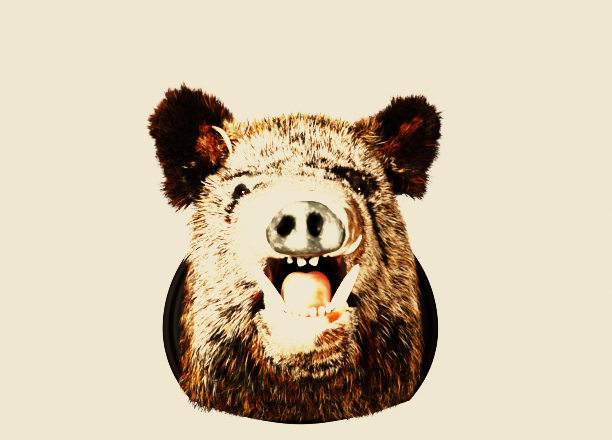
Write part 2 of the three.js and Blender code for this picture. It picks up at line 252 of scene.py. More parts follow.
def window(points, margin):
    """The part of the lattice round some places, and its x, reach and height ready to broadcast."""
    corners = np.asarray(points, dtype=float).reshape(-1, 3) * FLIP
    first = np.maximum(np.floor((corners.min(axis=0) - margin - LOW) / STEP).astype(int), 0)
    last = np.minimum(np.ceil((corners.max(axis=0) + margin - LOW) / STEP).astype(int) + 1, SHAPE)
    x, y, z = (low + STEP * np.arange(a, b) for low, a, b in zip(LOW, first, last))
    part = tuple(slice(a, b) for a, b in zip(first, last))
    return part, x[:, None, None], -y[None, :, None], z[None, None, :]


def from_line(x, reach, z, line):
    """How far away a line is, and how far along it (0 to 1) its nearest point is."""
    best, along = None, None
    for i, (start, end) in enumerate(zip(line[:-1], line[1:])):
        step = end - start
        t = (x - start[0]) * step[0] + (reach - start[1]) * step[1] + (z - start[2]) * step[2]
        t = np.clip(t / (step @ step), 0, 1)
        square = (x - start[0] - t * step[0]) ** 2
        square = square + (reach - start[1] - t * step[1]) ** 2
        square = square + (z - start[2] - t * step[2]) ** 2
        share = (i + t) / (len(line) - 1)
        if best is None:
            best, along = square, share
        else:
            nearer = square < best
            best, along = np.where(nearer, square, best), np.where(nearer, share, along)
    return np.sqrt(best), along


def crease(field, points, width, depth, count=12, fade=5.0):
    """Presses a soft line into the surface, or raises a fold where depth is below 0."""
    line = spline(points, count)
    part, x, reach, z = window(line, 3 * width)
    away, along = from_line(x, reach, z, line)
    ends = np.clip(fade * np.minimum(along, 1 - along) + 0.15, 0, 1)
    field[part] += depth * ends * np.exp(-((away / width) ** 2))


def mirrored(points, side):
    return np.asarray(points, dtype=float) * (side, 1, 1)


# ---- Where the coat is long and short ----

# How deep the coat is along the reach: on top, at the sides and below.
DEPTH_TOP = ([20, 120, 250, 300, 340, 400, 450, 500, 560, 604], [12, 14, 15, 14, 9, 6, 3.5, 2, 1.2, 0.6])
DEPTH_SIDE = ([20, 150, 300, 360, 420, 460, 520, 604], [16, 20, 18, 12, 7, 4, 1.5, 0.6])
DEPTH_BELOW = ([20, 250, 350, 430, 500, 560, 600], [20, 24, 22, 16, 9, 5, 2.5])
MIDDLE = ([20, 250, 400, 500, 604], [10, 45, 30, 20, 25])  # height of the middle of the body


def around_body(x, reach, z):
    """How much a place is on top (0 to 1) and how much it is below (0 to 1)."""
    rise = np.arctan2(z - np.interp(reach, *MIDDLE), np.abs(x) + 1e-6)
    return ramp(rise, 0.35, 1.0), ramp(-rise, 0.35, 1.0)


def by_place(x, reach, z, top, side, below):
    """A value that follows three curves along the reach, blended round the body."""
    upper, lower = around_body(x, reach, z)
    middle = np.interp(reach, *side)
    return middle + upper * (np.interp(reach, *top) - middle) + lower * (np.interp(reach, *below) - middle)


# The hollow of the mouth: reach, top, bottom, half width.
MOUTH = ([368, 385, 430, 490, 540, 572, 583],
         [-14, 0, 15, 23, 26, 24, 18],
         [-30, -38, -45, -50, -54, -55, -50],
         [12, 24, 34, 38, 36, 29, 20])


def mouth_distance(x, reach, z):
    """Below 1 inside the hollow of the mouth, and above 1 outside it."""
    top, bottom, half = (np.interp(reach, MOUTH[0], column) for column in MOUTH[1:])
    middle = (top + bottom) / 2
    across = np.abs(x) / half
    upwards = np.abs(z - middle) / ((top - bottom) / 2)
    beyond = np.maximum(np.maximum(MOUTH[0][0] - reach, reach - 605) / 20, 0)
    return (across**2.5 + upwards**2.5) ** 0.4 + beyond


# ---- The head's forms ----

EYE = {"side": 65.5, "reach": 397.0, "height": 118.0, "radius": 12.5, "lid": 2.4, "melt": 9.0}
SLIT = {"half_length": 0.82, "upper": 0.42, "lower": 0.38}  # shares of the eyeball's radius
# Folds of the lids: height (a share of the radius), how far beyond the eyeball, width, and depth pressed in.
LID_FOLDS = ((0.80, 3.4, 2.4, -2.2), (1.02, 3.0, 1.8, 1.6), (-0.72, 3.0, 2.2, -1.6), (-0.98, 2.6, 1.8, 1.5))


def eye_frame(side):
    """The middle of an eyeball, and its directions: out of the head, along the slit and up (x, reach, z)."""
    centre = np.array([side * EYE["side"], EYE["reach"], EYE["height"]])
    gaze = normalized(np.array([side * 0.50, 0.85, 0.10]))
    along = np.array([side * 0.85, -0.50, 0.22])
    along = normalized(along - gaze * (along @ gaze))
    up = np.array([0.0, 0.0, 1.0])
    up = normalized(up - gaze * (up @ gaze) - along * (up @ along))
    return centre, gaze, along, up


def lid_line(side, height, radius):
    """A curved line over an eyelid: height is a share of the radius above (or below) the slit's middle."""
    centre, gaze, along, up = eye_frame(side)
    points = []
    for a in np.linspace(-0.95, 0.95, 9):
        b = height * (1 - (a / 1.1) ** 2)
        forward = math.sqrt(max(1 - a * a - b * b, 0.02))
        points.append(centre + radius * (a * along + b * up + forward * gaze))
    return np.array(points)


def open_eye(field, side):
    """Builds the lids over an eyeball and cuts the slit between them."""
    centre, gaze, along, up = eye_frame(side)
    radius = EYE["radius"]
    lids = radius + EYE["lid"]
    part, x, reach, z = window([centre], lids + 2 * EYE["melt"])
    away = np.sqrt((x - centre[0]) ** 2 + (reach - centre[1]) ** 2 + (z - centre[2]) ** 2)
    field[part] = melt(field[part], away - lids, EYE["melt"])
    for height, beyond, width, depth in LID_FOLDS:
        crease(field, lid_line(side, height, radius + beyond), width, depth)
    part, x, reach, z = window([centre], radius + 8)
    offset = (x - centre[0], reach - centre[1], z - centre[2])
    a, b, out = (sum(o * d for o, d in zip(offset, axis)) for axis in (along, up, gaze))
    bow = 1 - (a / (SLIT["half_length"] * radius)) ** 2
    slit = np.maximum(b - SLIT["upper"] * radius * bow, -b - SLIT["lower"] * radius * bow)
    slit = np.maximum(slit, 2.0 - out)
    field[part] = -melt(-field[part], slit, 1.2)


# Folds on both sides of the face: places along each, its width, and how deep it is pressed in, where a
# depth below 0 raises it.
FACE_FOLDS = (
    # The furrow from the inner corner of the eye, down round the muzzle, and the ones beside it.
    (((55, 424, 115), (64, 440, 104), (74, 438, 98), (86, 420, 91), (95, 400, 84)), 4.5, 4.0),
    (((52, 455, 105), (62, 470, 88), (70, 468, 70), (78, 455, 52)), 5.0, 2.2),
    # The brow's edge over the eye, and the cheekbone below it.
    (((52, 402, 142), (68, 392, 143), (84, 372, 138), (96, 350, 136)), 9.0, -3.5),
    (((76, 412, 92), (92, 388, 88), (104, 360, 88)), 11.0, -3.0),
    # The bulge of the lip over the canine tooth, and the lip's rolled edge.
    (((46, 562, 44), (56, 545, 42), (61, 525, 38)), 10.0, -4.0),
    (((58, 470, 14), (54, 505, 15), (51, 530, 17), (43, 560, 14), (30, 588, 10),
      (12, 600, 8)), 4.0, -2.6),
    (((64, 475, 26), (62, 505, 26), (58, 530, 29), (48, 562, 26), (36, 588, 21)), 3.5, 1.8),
    # The lower lip's rolled edge and the groove under it.
    (((56, 440, -16), (50, 490, -18), (46, 530, -24), (41, 555, -36), (32, 576, -47), (18, 590, -54),
      (0, 596, -57)), 4.0, -2.8),
    (((58, 470, -34), (50, 530, -42), (40, 566, -56), (22, 588, -66), (0, 595, -69)), 4.0, 1.6),
)


def shape_face(field):
    for side in SIDES.values():
        open_eye(field, side)
        for points, width, depth in FACE_FOLDS:
            crease(field, mirrored(points, side), width, depth)


# The outline of the bare pad of the nose: heights, and half its width there.
PAD = ([4, 9, 16, 27, 38, 49, 57, 65, 70], [23, 33, 40, 43.5, 40.5, 33, 25, 14, 5])
PAD_MIDDLE = -1.5
PAD_REACH = 616  # of the pad's face
# Of each nostril: how far across its middle is, its tilt in radians, and half its length.
NOSTRILS = ((-19.5, 0.72, 5.5), (7.0, -0.04, 7.0))
NOSTRIL_HEIGHT = 39
# The wrinkles behind the pad: reach, half width, top and depth.
WRINKLES = ((590, 46, 73, 0.8), (573, 49, 77, 0.9), (556, 52, 82, 0.7))


def pad_distance(x, z):
    """Below 1 on the pad of the nose, and above 1 beside it."""
    return np.abs(x - PAD_MIDDLE) / np.interp(z, *PAD) + 4 * (1 - ramp(z, 2, 6)) + 4 * ramp(z, 67, 71)


def nostril_line(aside, tilt, half):
    """The middle line of a nostril, from its lower end to its top."""
    t = np.linspace(-1, 1, 7)
    x = aside + math.copysign(2, aside) * t * t + half * t * math.sin(tilt)
    return np.stack([x, np.full(7, PAD_REACH), NOSTRIL_HEIGHT + half * t * math.cos(tilt)], axis=1)


def shape_nose(field):
    """Rounds the edge of the pad, presses the wrinkles behind it, and opens the nostrils."""
    part, x, reach, z = window([(-50, 590, 0), (50, 622, 75)], 6)
    soft = field[part].copy()
    soften(soft, 5)
    field[part] += (soft - field[part]) * ramp(reach, 588, 600)
    for reach, half, top, depth in WRINKLES:
        a = np.linspace(0.15, math.pi - 0.15, 11)
        arch = np.stack([half * np.cos(a), reach + 3 * np.cos(a) ** 2, 42 + (top - 42) * np.sin(a)], axis=1)
        crease(field, arch, 2.6, depth, count=24)
    for nostril in NOSTRILS:
        line = nostril_line(*nostril)
        part, x, reach, z = window(line, 26)
        away, _ = from_line(x, reach, z, line)
        swell = np.exp(-(((away - 9.5) / 3.4) ** 2))
        field[part] -= 1.3 * swell
        flat = np.sqrt(np.maximum(away**2 - (reach - PAD_REACH) ** 2, 0))
        hole = np.maximum(flat - 3.5 - 0.10 * (reach - 612), 590 - reach)
        field[part] = -melt(-field[part], hole, 3.0)
    crease(field, [(-5, 622, 60), (-5.5, 623, 40), (-5, 622, 12)], 4.5, 1.4)


# Where the solids carry their front teeth: side, reach and height of the root, reach and height of the tip.
STUBS = ((6, 592, 6, 594, -2), (15.6, 588, 9, 589, 3), (23, 578, 10, 578, 5),
         (4.6, 584, -47, 590, -40), (12.6, 581, -47, 586, -40), (20, 574, -43, 577, -36))


def smooth_gums(field):
    """Takes the stubs of the solids' front teeth off the gums, where the teeth are pieces of their own."""
    for side in SIDES.values():
        for aside, reach, height, tip_reach, tip_height in STUBS:
            line = mirrored([(aside, reach, height), (aside, tip_reach, tip_height)], side)
            part, x, reach, z = window(line, 12)
            away, _ = from_line(x, reach, z, line)
            field[part] = -melt(-field[part], away - 5.0, 2.0)


# ---- Ears ----

# An ear is a cupped leaf: its base on the skull, its axis out and up, its hollow facing forward.
EAR = {"side": 98, "reach": 288, "height": 179, "rise": 0.7, "turn": 0.3, "length": 115, "level": 0.65}
EAR_FORWARD = {"left": -0.25, "right": 0.1}  # radians that each tip leans towards the nose
# How far along the ear (0 to 1), widths above and below its axis, and depth of the cup.
EAR_ROWS = np.array([
    (-0.22, 38, 42, 24), (0.0, 47, 60, 32), (0.2, 51, 65, 34), (0.42, 52, 59, 29),
    (0.64, 50, 49, 21), (0.84, 43, 39, 13), (0.95, 31, 27, 6), (1.0, 15, 15, 3),
])
# How far the hair stands out beyond the skin, above, below and at the tip.
EAR_FRINGE = {"left": (16, 21, 12), "right": (2, 18, 15)}
EAR_SKIN = 4.6  # thickness
EAR_TUFTS, EAR_HAIR = 12000, 14.5  # how many tufts an ear has, and their mean length
EAR_CLUMP, EAR_GATHER = 26, 0.8  # tufts in a clump, and how far their tips go to its middle (0 to 1)
EAR_CREST = {"left": 0.0, "right": 0.2}  # how much longer the hair of the upper edge is
EAR_LOCK = (-152, 290, 140)  # the middle of the long lock at the foot of the right ear
EAR_LOCK_EXTRA, EAR_LOCK_SIZE = 24, 17
EAR_GLOW = np.array([0.30, 0.115, 0.03])  # the colour of the light that the hair tips at the edge let through


def ear_frame(name):
    """An ear's base, and its directions along, over and out of its hollow, in x, y and z."""
    side, rise, turn, forward = SIDES[name], EAR["rise"], EAR["turn"], EAR_FORWARD[name]
    base = np.array([side * EAR["side"], -EAR["reach"], EAR["height"]])
    flat = math.cos(forward)
    along = np.array([side * math.cos(rise) * flat, -math.sin(forward), math.sin(rise) * flat])
    facing = np.array([side * math.sin(turn), -math.cos(turn), 0.0])
    facing = normalized(facing - along * (facing @ along))
    return base, along, np.cross(facing, along), facing


def ear_skin_length(name):
    return EAR["length"] - EAR_FRINGE[name][2]


def ear_leaf(name, rings=40, steps=26):
    """The skin of an ear as a closed surface."""
    base, along, over, facing = ear_frame(name)
    side = SIDES[name]
    leaf = []
    for share, above, below, cup in spline(EAR_ROWS, rings):
        fringe = ramp(share, -0.1, 0.35)
        above = max(above - EAR_FRINGE[name][0] * fringe, 4)
        below = max(below - EAR_FRINGE[name][1] * fringe, 4)
        centre = base + along * share * ear_skin_length(name)
        ring = []
        for face in (-1, 1):
            for u in np.linspace(1, -1, steps + 1)[:-1] * face:
                width = above if u * side > 0 else below
                rim = 1 - abs(u) ** 5
                depth = cup * (u * u - EAR["level"]) + face * EAR_SKIN * (0.25 + 0.25 * rim)
                ring.append(centre + over * u * width + facing * depth)
        leaf.append(ring)
    return capped(leaf)


def ear_place(points, name):
    """For each point: how far along the ear it is, how far over (-1 to 1), and how far out of its middle."""
    base, along, over, facing = ear_frame(name)
    offset = points - base
    share = offset @ along / ear_skin_length(name)
    aside = offset @ over
    above, below, cup = (np.interp(share, EAR_ROWS[:, 0], EAR_ROWS[:, i]) for i in (1, 2, 3))
    high = aside * SIDES[name] > 0
    width = np.where(high, above, below) - np.where(high, *EAR_FRINGE[name][:2]) * ramp(share, -0.1, 0.35)
    u = aside / np.maximum(width, 4)
    depth = offset @ facing - cup * (np.clip(u, -1, 1) ** 2 - EAR["level"])
    return share, u, depth


# ---- The skin ----

FLESH = ("neck", "head", "jaw", "nose_pad")
SKIN_BACK = 20.9  # its reach where it meets the shield's face
SKIN_TRIANGLES = 185000


def from_eye(x, reach, z, side):
    """How far a place is from the middle of an eye."""
    return np.sqrt((x - side * EYE["side"]) ** 2 + (reach - EYE["reach"]) ** 2 + (z - EYE["height"]) ** 2)


def skin_field():
    field = distances(*node_shape(FLESH[0]))
    for name in FLESH[1:]:
        field = np.minimum(field, distances(*node_shape(name)))
    # The solids swell until the gaps between them close, and the distances are taken afresh.
    field = distances(*surface(field, SEAM)) + SEAM
    soften(field, 3)
    _, x, reach, z = window([LOW * FLIP, HIGH * FLIP], 0)
    depth = by_place(x, reach, z, DEPTH_TOP, DEPTH_SIDE, DEPTH_BELOW)
    for side in SIDES.values():
        depth *= 0.35 + 0.65 * ramp(from_eye(x, reach, z, side), 18, 45)
    depth *= ramp(mouth_distance(x, reach, z), 1.15, 1.7)
    field += depth.astype(np.float32)
    shape_face(field)
    shape_nose(field)
    smooth_gums(field)
    for name in SIDES:
        field = melt(field, distances(*ear_leaf(name)), 8.0)
    return field


def make_skin():
    """One skin over all the flesh, its needless corners merged where it is smooth."""
    points, faces = surface(skin_field())
    points[:, 1] = np.minimum(points[:, 1], -SKIN_BACK)
    skin = mesh_object("skin", points, faces, "hide", replaced=FLESH + ("ear_left", "ear_right"))
    thinner = skin.modifiers.new("thinner", "DECIMATE")
    thinner.ratio = SKIN_TRIANGLES / len(faces)
    graph = bpy.context.evaluated_depsgraph_get()
    mesh = bpy.data.meshes.new_from_object(skin.evaluated_get(graph))
    skin.modifiers.clear()
    skin.data = mesh
    return skin


def mesh_arrays(piece):
    """A piece's corners in the boar's space, their normals, and its triangles."""
    normals = np.empty(len(piece.data.vertices) * 3, dtype=np.float32)
    piece.data.vertex_normals.foreach_get("vector", normals)
    corners, triangles = read_mesh(piece.data)
    points = lean(corners, -1)
    return points, normalized(lean(corners + normals.reshape(-1, 3), -1) - points), triangles


# ---- Markings ----

INKS = np.array([
    (0.006, 0.0038, 0.0024),  # black
    (0.085, 0.036, 0.013),  # brown
    (0.30, 0.056, 0.017),  # rust
    (0.42, 0.200, 0.08),  # tan
    (0.62, 0.375, 0.14),  # gold
    (0.75, 0.585, 0.43),  # cream
    (0.88, 0.79, 0.69),  # white
    (0.115, 0.110, 0.085),  # grey
])
BLACK, BROWN, CREAM, GREY = 0, 1, 5, 7  # places in the list of inks
PALES, COLOURED = slice(CREAM, GREY), slice(BROWN + 1, GREY)

# How much of each ink the coat has in each region: black, brown, rust, tan, gold, cream, white, grey.
MIXES = {
    "muzzle": (0.00, 0.00, 0.00, 0.01, 0.02, 0.22, 0.75, 0.00),
    # brown hair on the left side of the muzzle and chin, darkened further as painted shade
    "brown_and_shade": (0.26, 0.23, 0.12, 0.18, 0.15, 0.06, 0.00, 0.00),
    "brow": (0.22, 0.05, 0.02, 0.02, 0.05, 0.16, 0.48, 0.00),
    "pepper": (0.44, 0.05, 0.01, 0.02, 0.05, 0.10, 0.33, 0.00),
    "crown": (0.26, 0.14, 0.03, 0.16, 0.24, 0.14, 0.03, 0.00),
    # the right cheek's mix is paler partly as painted light, and the left cheek's darker partly as painted
    # shade
    "cheek_right_lit": (0.115, 0.01, 0.02, 0.01, 0.01, 0.115, 0.72, 0.00),
    "cheek_left_shaded": (0.24, 0.04, 0.02, 0.06, 0.21, 0.21, 0.22, 0.00),
    "throat": (0.62, 0.12, 0.10, 0.05, 0.05, 0.03, 0.01, 0.02),
    "neck": (0.46, 0.20, 0.08, 0.12, 0.11, 0.03, 0.00, 0.00),
    "contour": (0.28, 0.12, 0.05, 0.12, 0.36, 0.07, 0.00, 0.00),
    "chin": (0.00, 0.00, 0.00, 0.02, 0.03, 0.22, 0.73, 0.00),
    "beard": (0.40, 0.14, 0.12, 0.09, 0.05, 0.10, 0.10, 0.00),
    "dark": (0.90, 0.07, 0.02, 0.01, 0.00, 0.00, 0.00, 0.00),
    "smoke": (0.50, 0.04, 0.01, 0.00, 0.00, 0.01, 0.02, 0.42),
    "ear": (0.99, 0.01, 0.00, 0.00, 0.00, 0.00, 0.00, 0.00),
    "ear_edge": (0.87, 0.09, 0.03, 0.01, 0.00, 0.00, 0.00, 0.00),
    "rusty": (0.36, 0.12, 0.42, 0.06, 0.04, 0.00, 0.00, 0.00),
}

# Places where another mix takes over, laid one after the other: the mix, then x, reach, height and radius of
# each place, and how strong the mix is there.
PATCHES = (
    # The golden outline of the head, and the white and smoky places within it.
    ("contour", ((-132, 292, 122, 24, 1.0), (-133, 296, 98, 22, 1.0), (-138, 268, 74, 26, 1.0),
        (-142, 266, 45, 22, 1.0), (-143, 268, 20, 20, 1.0), (-146, 260, -6, 20, 1.0),
        (-150, 240, -30, 22, 1.0), (-152, 214, -55, 22, 1.0), (-148, 190, -80, 24, 1.0))),
    ("cheek_right_lit", ((-122, 285, -60, 26, 1.0), (-131, 240, -75, 20, 0.8))),
    ("pepper", ((-68, 442, 0, 14, 0.45), (-81, 412, -10, 19, 0.45), (-78, 410, -29, 17, 0.5),
        (-94, 378, -27, 20, 0.5), (-88, 376, -47, 17, 0.8))),
    ("smoke", ((-101, 330, -65, 20, 1.0), (-112, 296, -79, 22, 1.0), (-82, 372, -60, 19, 1.0),
        (-72, 350, -78, 28, 1.0), (-98, 305, -84, 24, 1.0), (-70, 320, -98, 30, 1.0),
        (-98, 250, -98, 30, 0.9))),
    ("dark", ((-60, 392, -72, 15, 1.0), (-42, 370, -96, 22, 0.9))),
    ("contour", ((128, 310, 95, 20, 0.9), (128, 320, 55, 22, 0.9), (129, 315, 10, 20, 0.9),
        (133, 290, -25, 18, 1.0), (143, 240, -45, 20, 1.0), (148, 200, -70, 20, 0.8))),
    # The eyes and the dark hair about them, with painted shadow about the boar's left eye and down the side
    # of its muzzle.
    ("dark", ((-94, 356, 149, 14, 0.9), (-82, 370, 149, 13, 0.9), (-69, 386, 147, 11, 0.9))),
    ("pepper", ((-52, 398, 146, 14, 1.0), (-38, 397, 152, 18, 1.0), (-35, 410, 142, 13, 0.9),
        (-18, 393, 158, 12, 0.8), (14, 398, 156, 12, 0.8), (30, 400, 153, 18, 1.0), (46, 402, 147, 17, 1.0),
        (36, 418, 135, 14, 1.0))),
    ("dark", ((50, 418, 130, 12, 0.8), (-18, 299, 233, 9, 0.8), (-30, 303, 229, 8, 0.7),
        (20, 300, 230, 8, 0.6), (60, 300, 214, 12, 0.8), (72, 298, 208, 12, 0.7))),
    ("smoke", ((-66, 512, 45, 5, 0.6),)),
    ("chin", ((-72, 396, 135, 7, 0.8),)),
    ("dark", ((-79, 400, 112, 12, 1.0), (-84, 410, 97, 8, 1.0), (-56, 436, 121, 5, 1.0),
        (-50, 434, 125, 4, 0.9), (-83, 392, 108, 10, 1.0))),
    ("rusty", ((-89, 410, 86, 6, 1.0),)),
    # Dark hair and the painted shadow that the muzzle casts over the boar's left eye and down its side.
    ("dark", ((48, 407, 139, 13, 1.0), (62, 400, 138, 15, 1.0), (76, 390, 134, 15, 0.9),
        (92, 372, 130, 16, 0.7), (58, 403, 142, 15, 0.9), (66, 415, 124, 18, 1.0), (78, 412, 108, 24, 0.9),
        (78, 430, 86, 14, 1.0), (84, 424, 70, 13, 1.0), (90, 412, 54, 12, 0.9), (96, 400, 38, 11, 0.7))),
    ("contour", ((73, 386, 146, 5, 1.0),)),
    # Beside the jaw, and under it.
    ("pepper", ((-49, 535, -60, 14, 0.7), (-52, 485, -58, 24, 0.9), (52, 485, -58, 24, 0.9),
        (42, 520, -84, 18, 0.8))),
    ("rusty", ((-56, 444, -14, 9, 0.9),)),
    # Dark hair with painted shade in the gap between the jaw and the right cheek.
    ("dark", ((-57, 438, -26, 11, 1.0), (-58, 440, -40, 10, 1.0), (-53, 500, -38, 18, 1.0),
        (-48, 525, -50, 10, 0.9))),
    ("rusty", ((-43, 549, -61, 7, 1.0), (-35, 553, -72, 6, 0.8))),
    # Dark hair with painted shade in the gap between the jaw and the left cheek.
    ("dark", ((54, 445, -24, 15, 1.0), (56, 442, -42, 16, 1.0), (60, 425, -58, 13, 1.0))),
    ("rusty", ((70, 400, -45, 12, 0.6),)),
    ("dark", ((104, 330, -54, 32, 1.0), (122, 278, -62, 32, 1.0), (105, 240, -92, 36, 0.9),
        (78, 350, -88, 26, 0.9))),
    # Brown on the chin's left side, darkened as painted shade.
    ("brown_and_shade", ((36, 538, -78, 16, 1.0),)),
    ("beard", ((30, 490, -91, 20, 1.0), (14, 479, -97, 20, 1.0), (-4, 540, -95, 15, 0.9),
        (16, 545, -94, 14, 1.0), (-24, 538, -90, 11, 0.9), (62, 405, -74, 17, 1.0), (80, 385, -66, 10, 0.8),
        (46, 484, -81, 15, 1.0))),
    # Dark hair with painted shade beside the jaw on its left.
    ("dark", ((51, 508, -38, 19, 1.0), (49, 504, -58, 16, 0.9))),
    ("beard", ((44, 505, -76, 15, 1.0),)),
    ("rusty", ((-47, 500, -59, 12, 0.9),)),
    ("beard", ((-43, 518, -73, 11, 1.0), (-6, 558, -91, 14, 1.0), (8, 570, -88, 9, 0.8),
        (22, 510, -98, 18, 1.0), (-2, 510, -100, 18, 1.0), (-28, 518, -92, 15, 0.8))),
    ("dark", ((-6, 500, -99, 18, 0.8), (16, 483, -98, 21, 0.85), (32, 474, -92, 18, 0.8),
        (-30, 480, -98, 18, 0.8), (30, 420, -100, 26, 0.9))),
    ("chin", ((-40, 312, -114, 12, 0.6),)),
    # Brown on the chin's left side, darkened as painted shade.
    ("brown_and_shade", ((24, 584, -77, 16, 0.9), (37, 556, -75, 19, 1.0), (20, 562, -89, 17, 1.0),
        (46, 540, -56, 13, 0.9), (44, 550, -48, 8, 1.0), (32, 570, -62, 10, 0.9))),
    # The side of the muzzle beside the nose, brown and darkened as painted shade, and the sores on its top.
    ("brown_and_shade", ((47, 588, 38, 11, 1.0), (47, 586, 24, 10, 1.0), (49, 577, 52, 13, 1.0),
        (56, 560, 38, 15, 1.0), (50, 580, 24, 11, 1.0))),
    ("rusty", ((-20, 521, 95, 3.5, 1.0), (8, 528, 96, 4.5, 1.0), (13, 560, 84, 3.5, 1.0),
        (33, 575, 72, 2.5, 1.0))),
    ("brown_and_shade", ((104, 360, 104, 12, 0.8),)),
    # The ears: their dark bases and rusty hollows, and the pale hair between them and the brow.
    ("ear_edge", ((130, 272, 145, 36, 1.0),)),
    ("ear", ((-124, 276, 160, 32, 1.0), (-104, 290, 172, 17, 0.9))),
    ("chin", ((-82, 342, 178, 17, 0.9), (-76, 328, 196, 15, 0.9), (-84, 320, 188, 10, 0.8))),
    ("ear_edge", ((-152, 292, 140, 26, 1.0), (-166, 294, 126, 18, 1.0))),
    ("rusty", ((-126, 290, 238, 6, 1.0), (-118, 286, 226, 9, 1.0), (-110, 278, 206, 17, 1.0),
        (-99, 298, 187, 10, 1.0), (113, 269, 196, 9, 0.8), (126, 264, 208, 11, 0.8),
        (139, 264, 219, 12, 0.8), (153, 262, 230, 10, 0.7), (124, 270, 186, 9, 0.5))),
    ("ear_edge", ((152, 290, 140, 24, 1.0), (162, 290, 128, 16, 1.0))),
)


def region_weights(points):
    """How much of each mix every point takes."""
    x, reach, z = spots(points)
    upper, lower = around_body(x, reach, z)
    left = ramp(x, -25, 35)
    behind = ramp(-reach, -345, -300)
    snout = ramp(reach, 425, 470) * (1 - ramp(-z, -10, 15))
    jaw = ramp(reach, 430, 480) * ramp(-z, -5, 20)
    rest = 1 - np.maximum(snout, jaw)
    neck = ramp(-reach, -270, -200) * (1 - upper) * (1 - lower)
    cheek = (1 - upper) * (1 - lower) - neck
    weights = {name: np.zeros(len(points)) for name in MIXES}
    # Beyond x 42 the snout takes brown hair darkened as painted shade.
    weights["brown_and_shade"] = snout * ramp(x, 42, 58) * ramp(reach, 455, 490)
    weights["muzzle"] = snout - weights["brown_and_shade"]
    weights["chin"] = jaw * (1 - snout)
    weights["crown"] = rest * (upper * behind)
    weights["brow"] = rest * (upper * (1 - behind))
    weights["neck"] = rest * neck
    # Painted light and shade: the left cheek takes a darker mix than the right.
    weights["cheek_left_shaded"] = rest * cheek * left
    weights["cheek_right_lit"] = rest * cheek * (1 - left)
    weights["throat"] = rest * lower
    for name, side in SIDES.items():
        share, u, _ = ear_place(points, name)
        on = ramp(share, 0.10, 0.35) * (x * side > 60)
        edge = on * ramp(np.maximum(np.abs(u), share), 0.75, 1.05)
        for other in weights:
            weights[other] = weights[other] * (1 - on)
        weights["ear"] = weights["ear"] + on - edge
        weights["ear_edge"] = weights["ear_edge"] + edge
    ragged = np.exp(0.22 * waves(points, 13, 41) + 0.16 * waves(points, 31, 42))
    for mix, places in PATCHES:
        for *centre, radius, strength in places:
            away = np.linalg.norm(points - np.array(centre) * FLIP, axis=1) * ragged
            share = strength * (1 - ramp(away, 0.55 * radius, 1.25 * radius))
            for name in weights:
                weights[name] = weights[name] * (1 - share)
            weights[mix] = weights[mix] + share
    return weights


def ink_shares(points):
    """The share of each ink at every point."""
    weights = region_weights(points)
    shares = sum(weights[name][:, None] * np.array(mix) for name, mix in MIXES.items())
    dapple = waves(points, 34, 5) + 0.7 * waves(points, 15, 6)
    shares[:, BLACK] *= np.exp(0.75 * dapple)
    shares[:, BROWN] *= np.exp(0.4 * dapple)
    shares[:, PALES] *= np.exp(-0.5 * dapple)[:, None]
    # Under the head dark and light hair lie in streaks.
    x, reach, z = spots(points)
    streaks = waves(points * (1, 0.2, 0.2), 10, 7) * around_body(x, reach, z)[1] * (1 - ramp(reach, 480, 530))
    shares[:, BLACK] *= np.exp(1.1 * streaks)
    shares[:, COLOURED] *= np.exp(-0.9 * streaks)[:, None]
    return shares / shares.sum(axis=1, keepdims=True)


def paleness(shares):
    """1 where nearly all of the coat is cream or white, and 0 where half of it or less is."""
    return ramp(shares[:, PALES].sum(axis=1), 0.5, 0.85)


# Bare skin: red, green, blue, and how wet it is.
PAINTS = {
    "nose": (0.047, 0.044, 0.037, 0.5),
    "nose_light": (0.165, 0.155, 0.125, 0.5),
    "nose_dark": (0.024, 0.022, 0.018, 0.5),
    # painted highlights on the pad
    "nose_highlight": (0.35, 0.325, 0.27, 0.5),
    # painted shadow below the nostrils
    "nostril_shadow": (0.026, 0.024, 0.019, 0.5),
    "nostril_edge": (0.014, 0.012, 0.009, 0.5),
    # painted shade, near black, inside the nostrils
    "nostril_shade": (0.003, 0.003, 0.003, 0.3),
    "sore": (0.30, 0.07, 0.02, 0.2),
    "lip_red": (0.55, 0.20, 0.13, 0.8),
    "lip_pale": (0.76, 0.60, 0.44, 0.7),
    # tan, partly painted shade, on the lower lip's left side
    "lip_tan_and_shade": (0.55, 0.27, 0.09, 0.7),
    "gum": (0.62, 0.06, 0.018, 0.9),
    "eyelid": (0.010, 0.006, 0.004, 0.5),
    "outer_corner": (0.012, 0.007, 0.005, 0.3),
    "inner_corner": (0.02, 0.010, 0.007, 0.3),
}
# The inside of the mouth: its ground, near black as painted shade, what the cheek adds, and what the cheek's
# streaks add.
MOUTH_SHADE_AND_COLOURS = np.array([(0.012, 0.003, 0.002), (0.035, 0.007, 0.004), (0.45, 0.18, 0.06)])
MOUTH_WET = 0.9
# Painted highlights on the pad of the nose: across, height, half width and half height.
PAD_HIGHLIGHTS = ((-5.0, 38, 4, 14), (-11.0, 22, 10, 8), (24.5, 27, 8, 11), (-12, 57, 10, 7))
# Red sores on top of the muzzle: across, height and radius.
SORES = ((-24, 99, 4.5), (10, 96, 4.5), (18, 90, 3.5), (30, 72, 3.0), (-4, 100, 2.5))


def pad_edge(points):
    """The distance of pad_distance, with a ragged edge."""
    return pad_distance(points[:, 0], points[:, 2]) + 0.05 * waves(points, 9, 13)


def pad_share(points):
    """1 on the pad of the nose and 0 off it."""
    return ramp(-points[:, 1], 598, 604) * (1 - ramp(pad_edge(points), 0.95, 1.10))


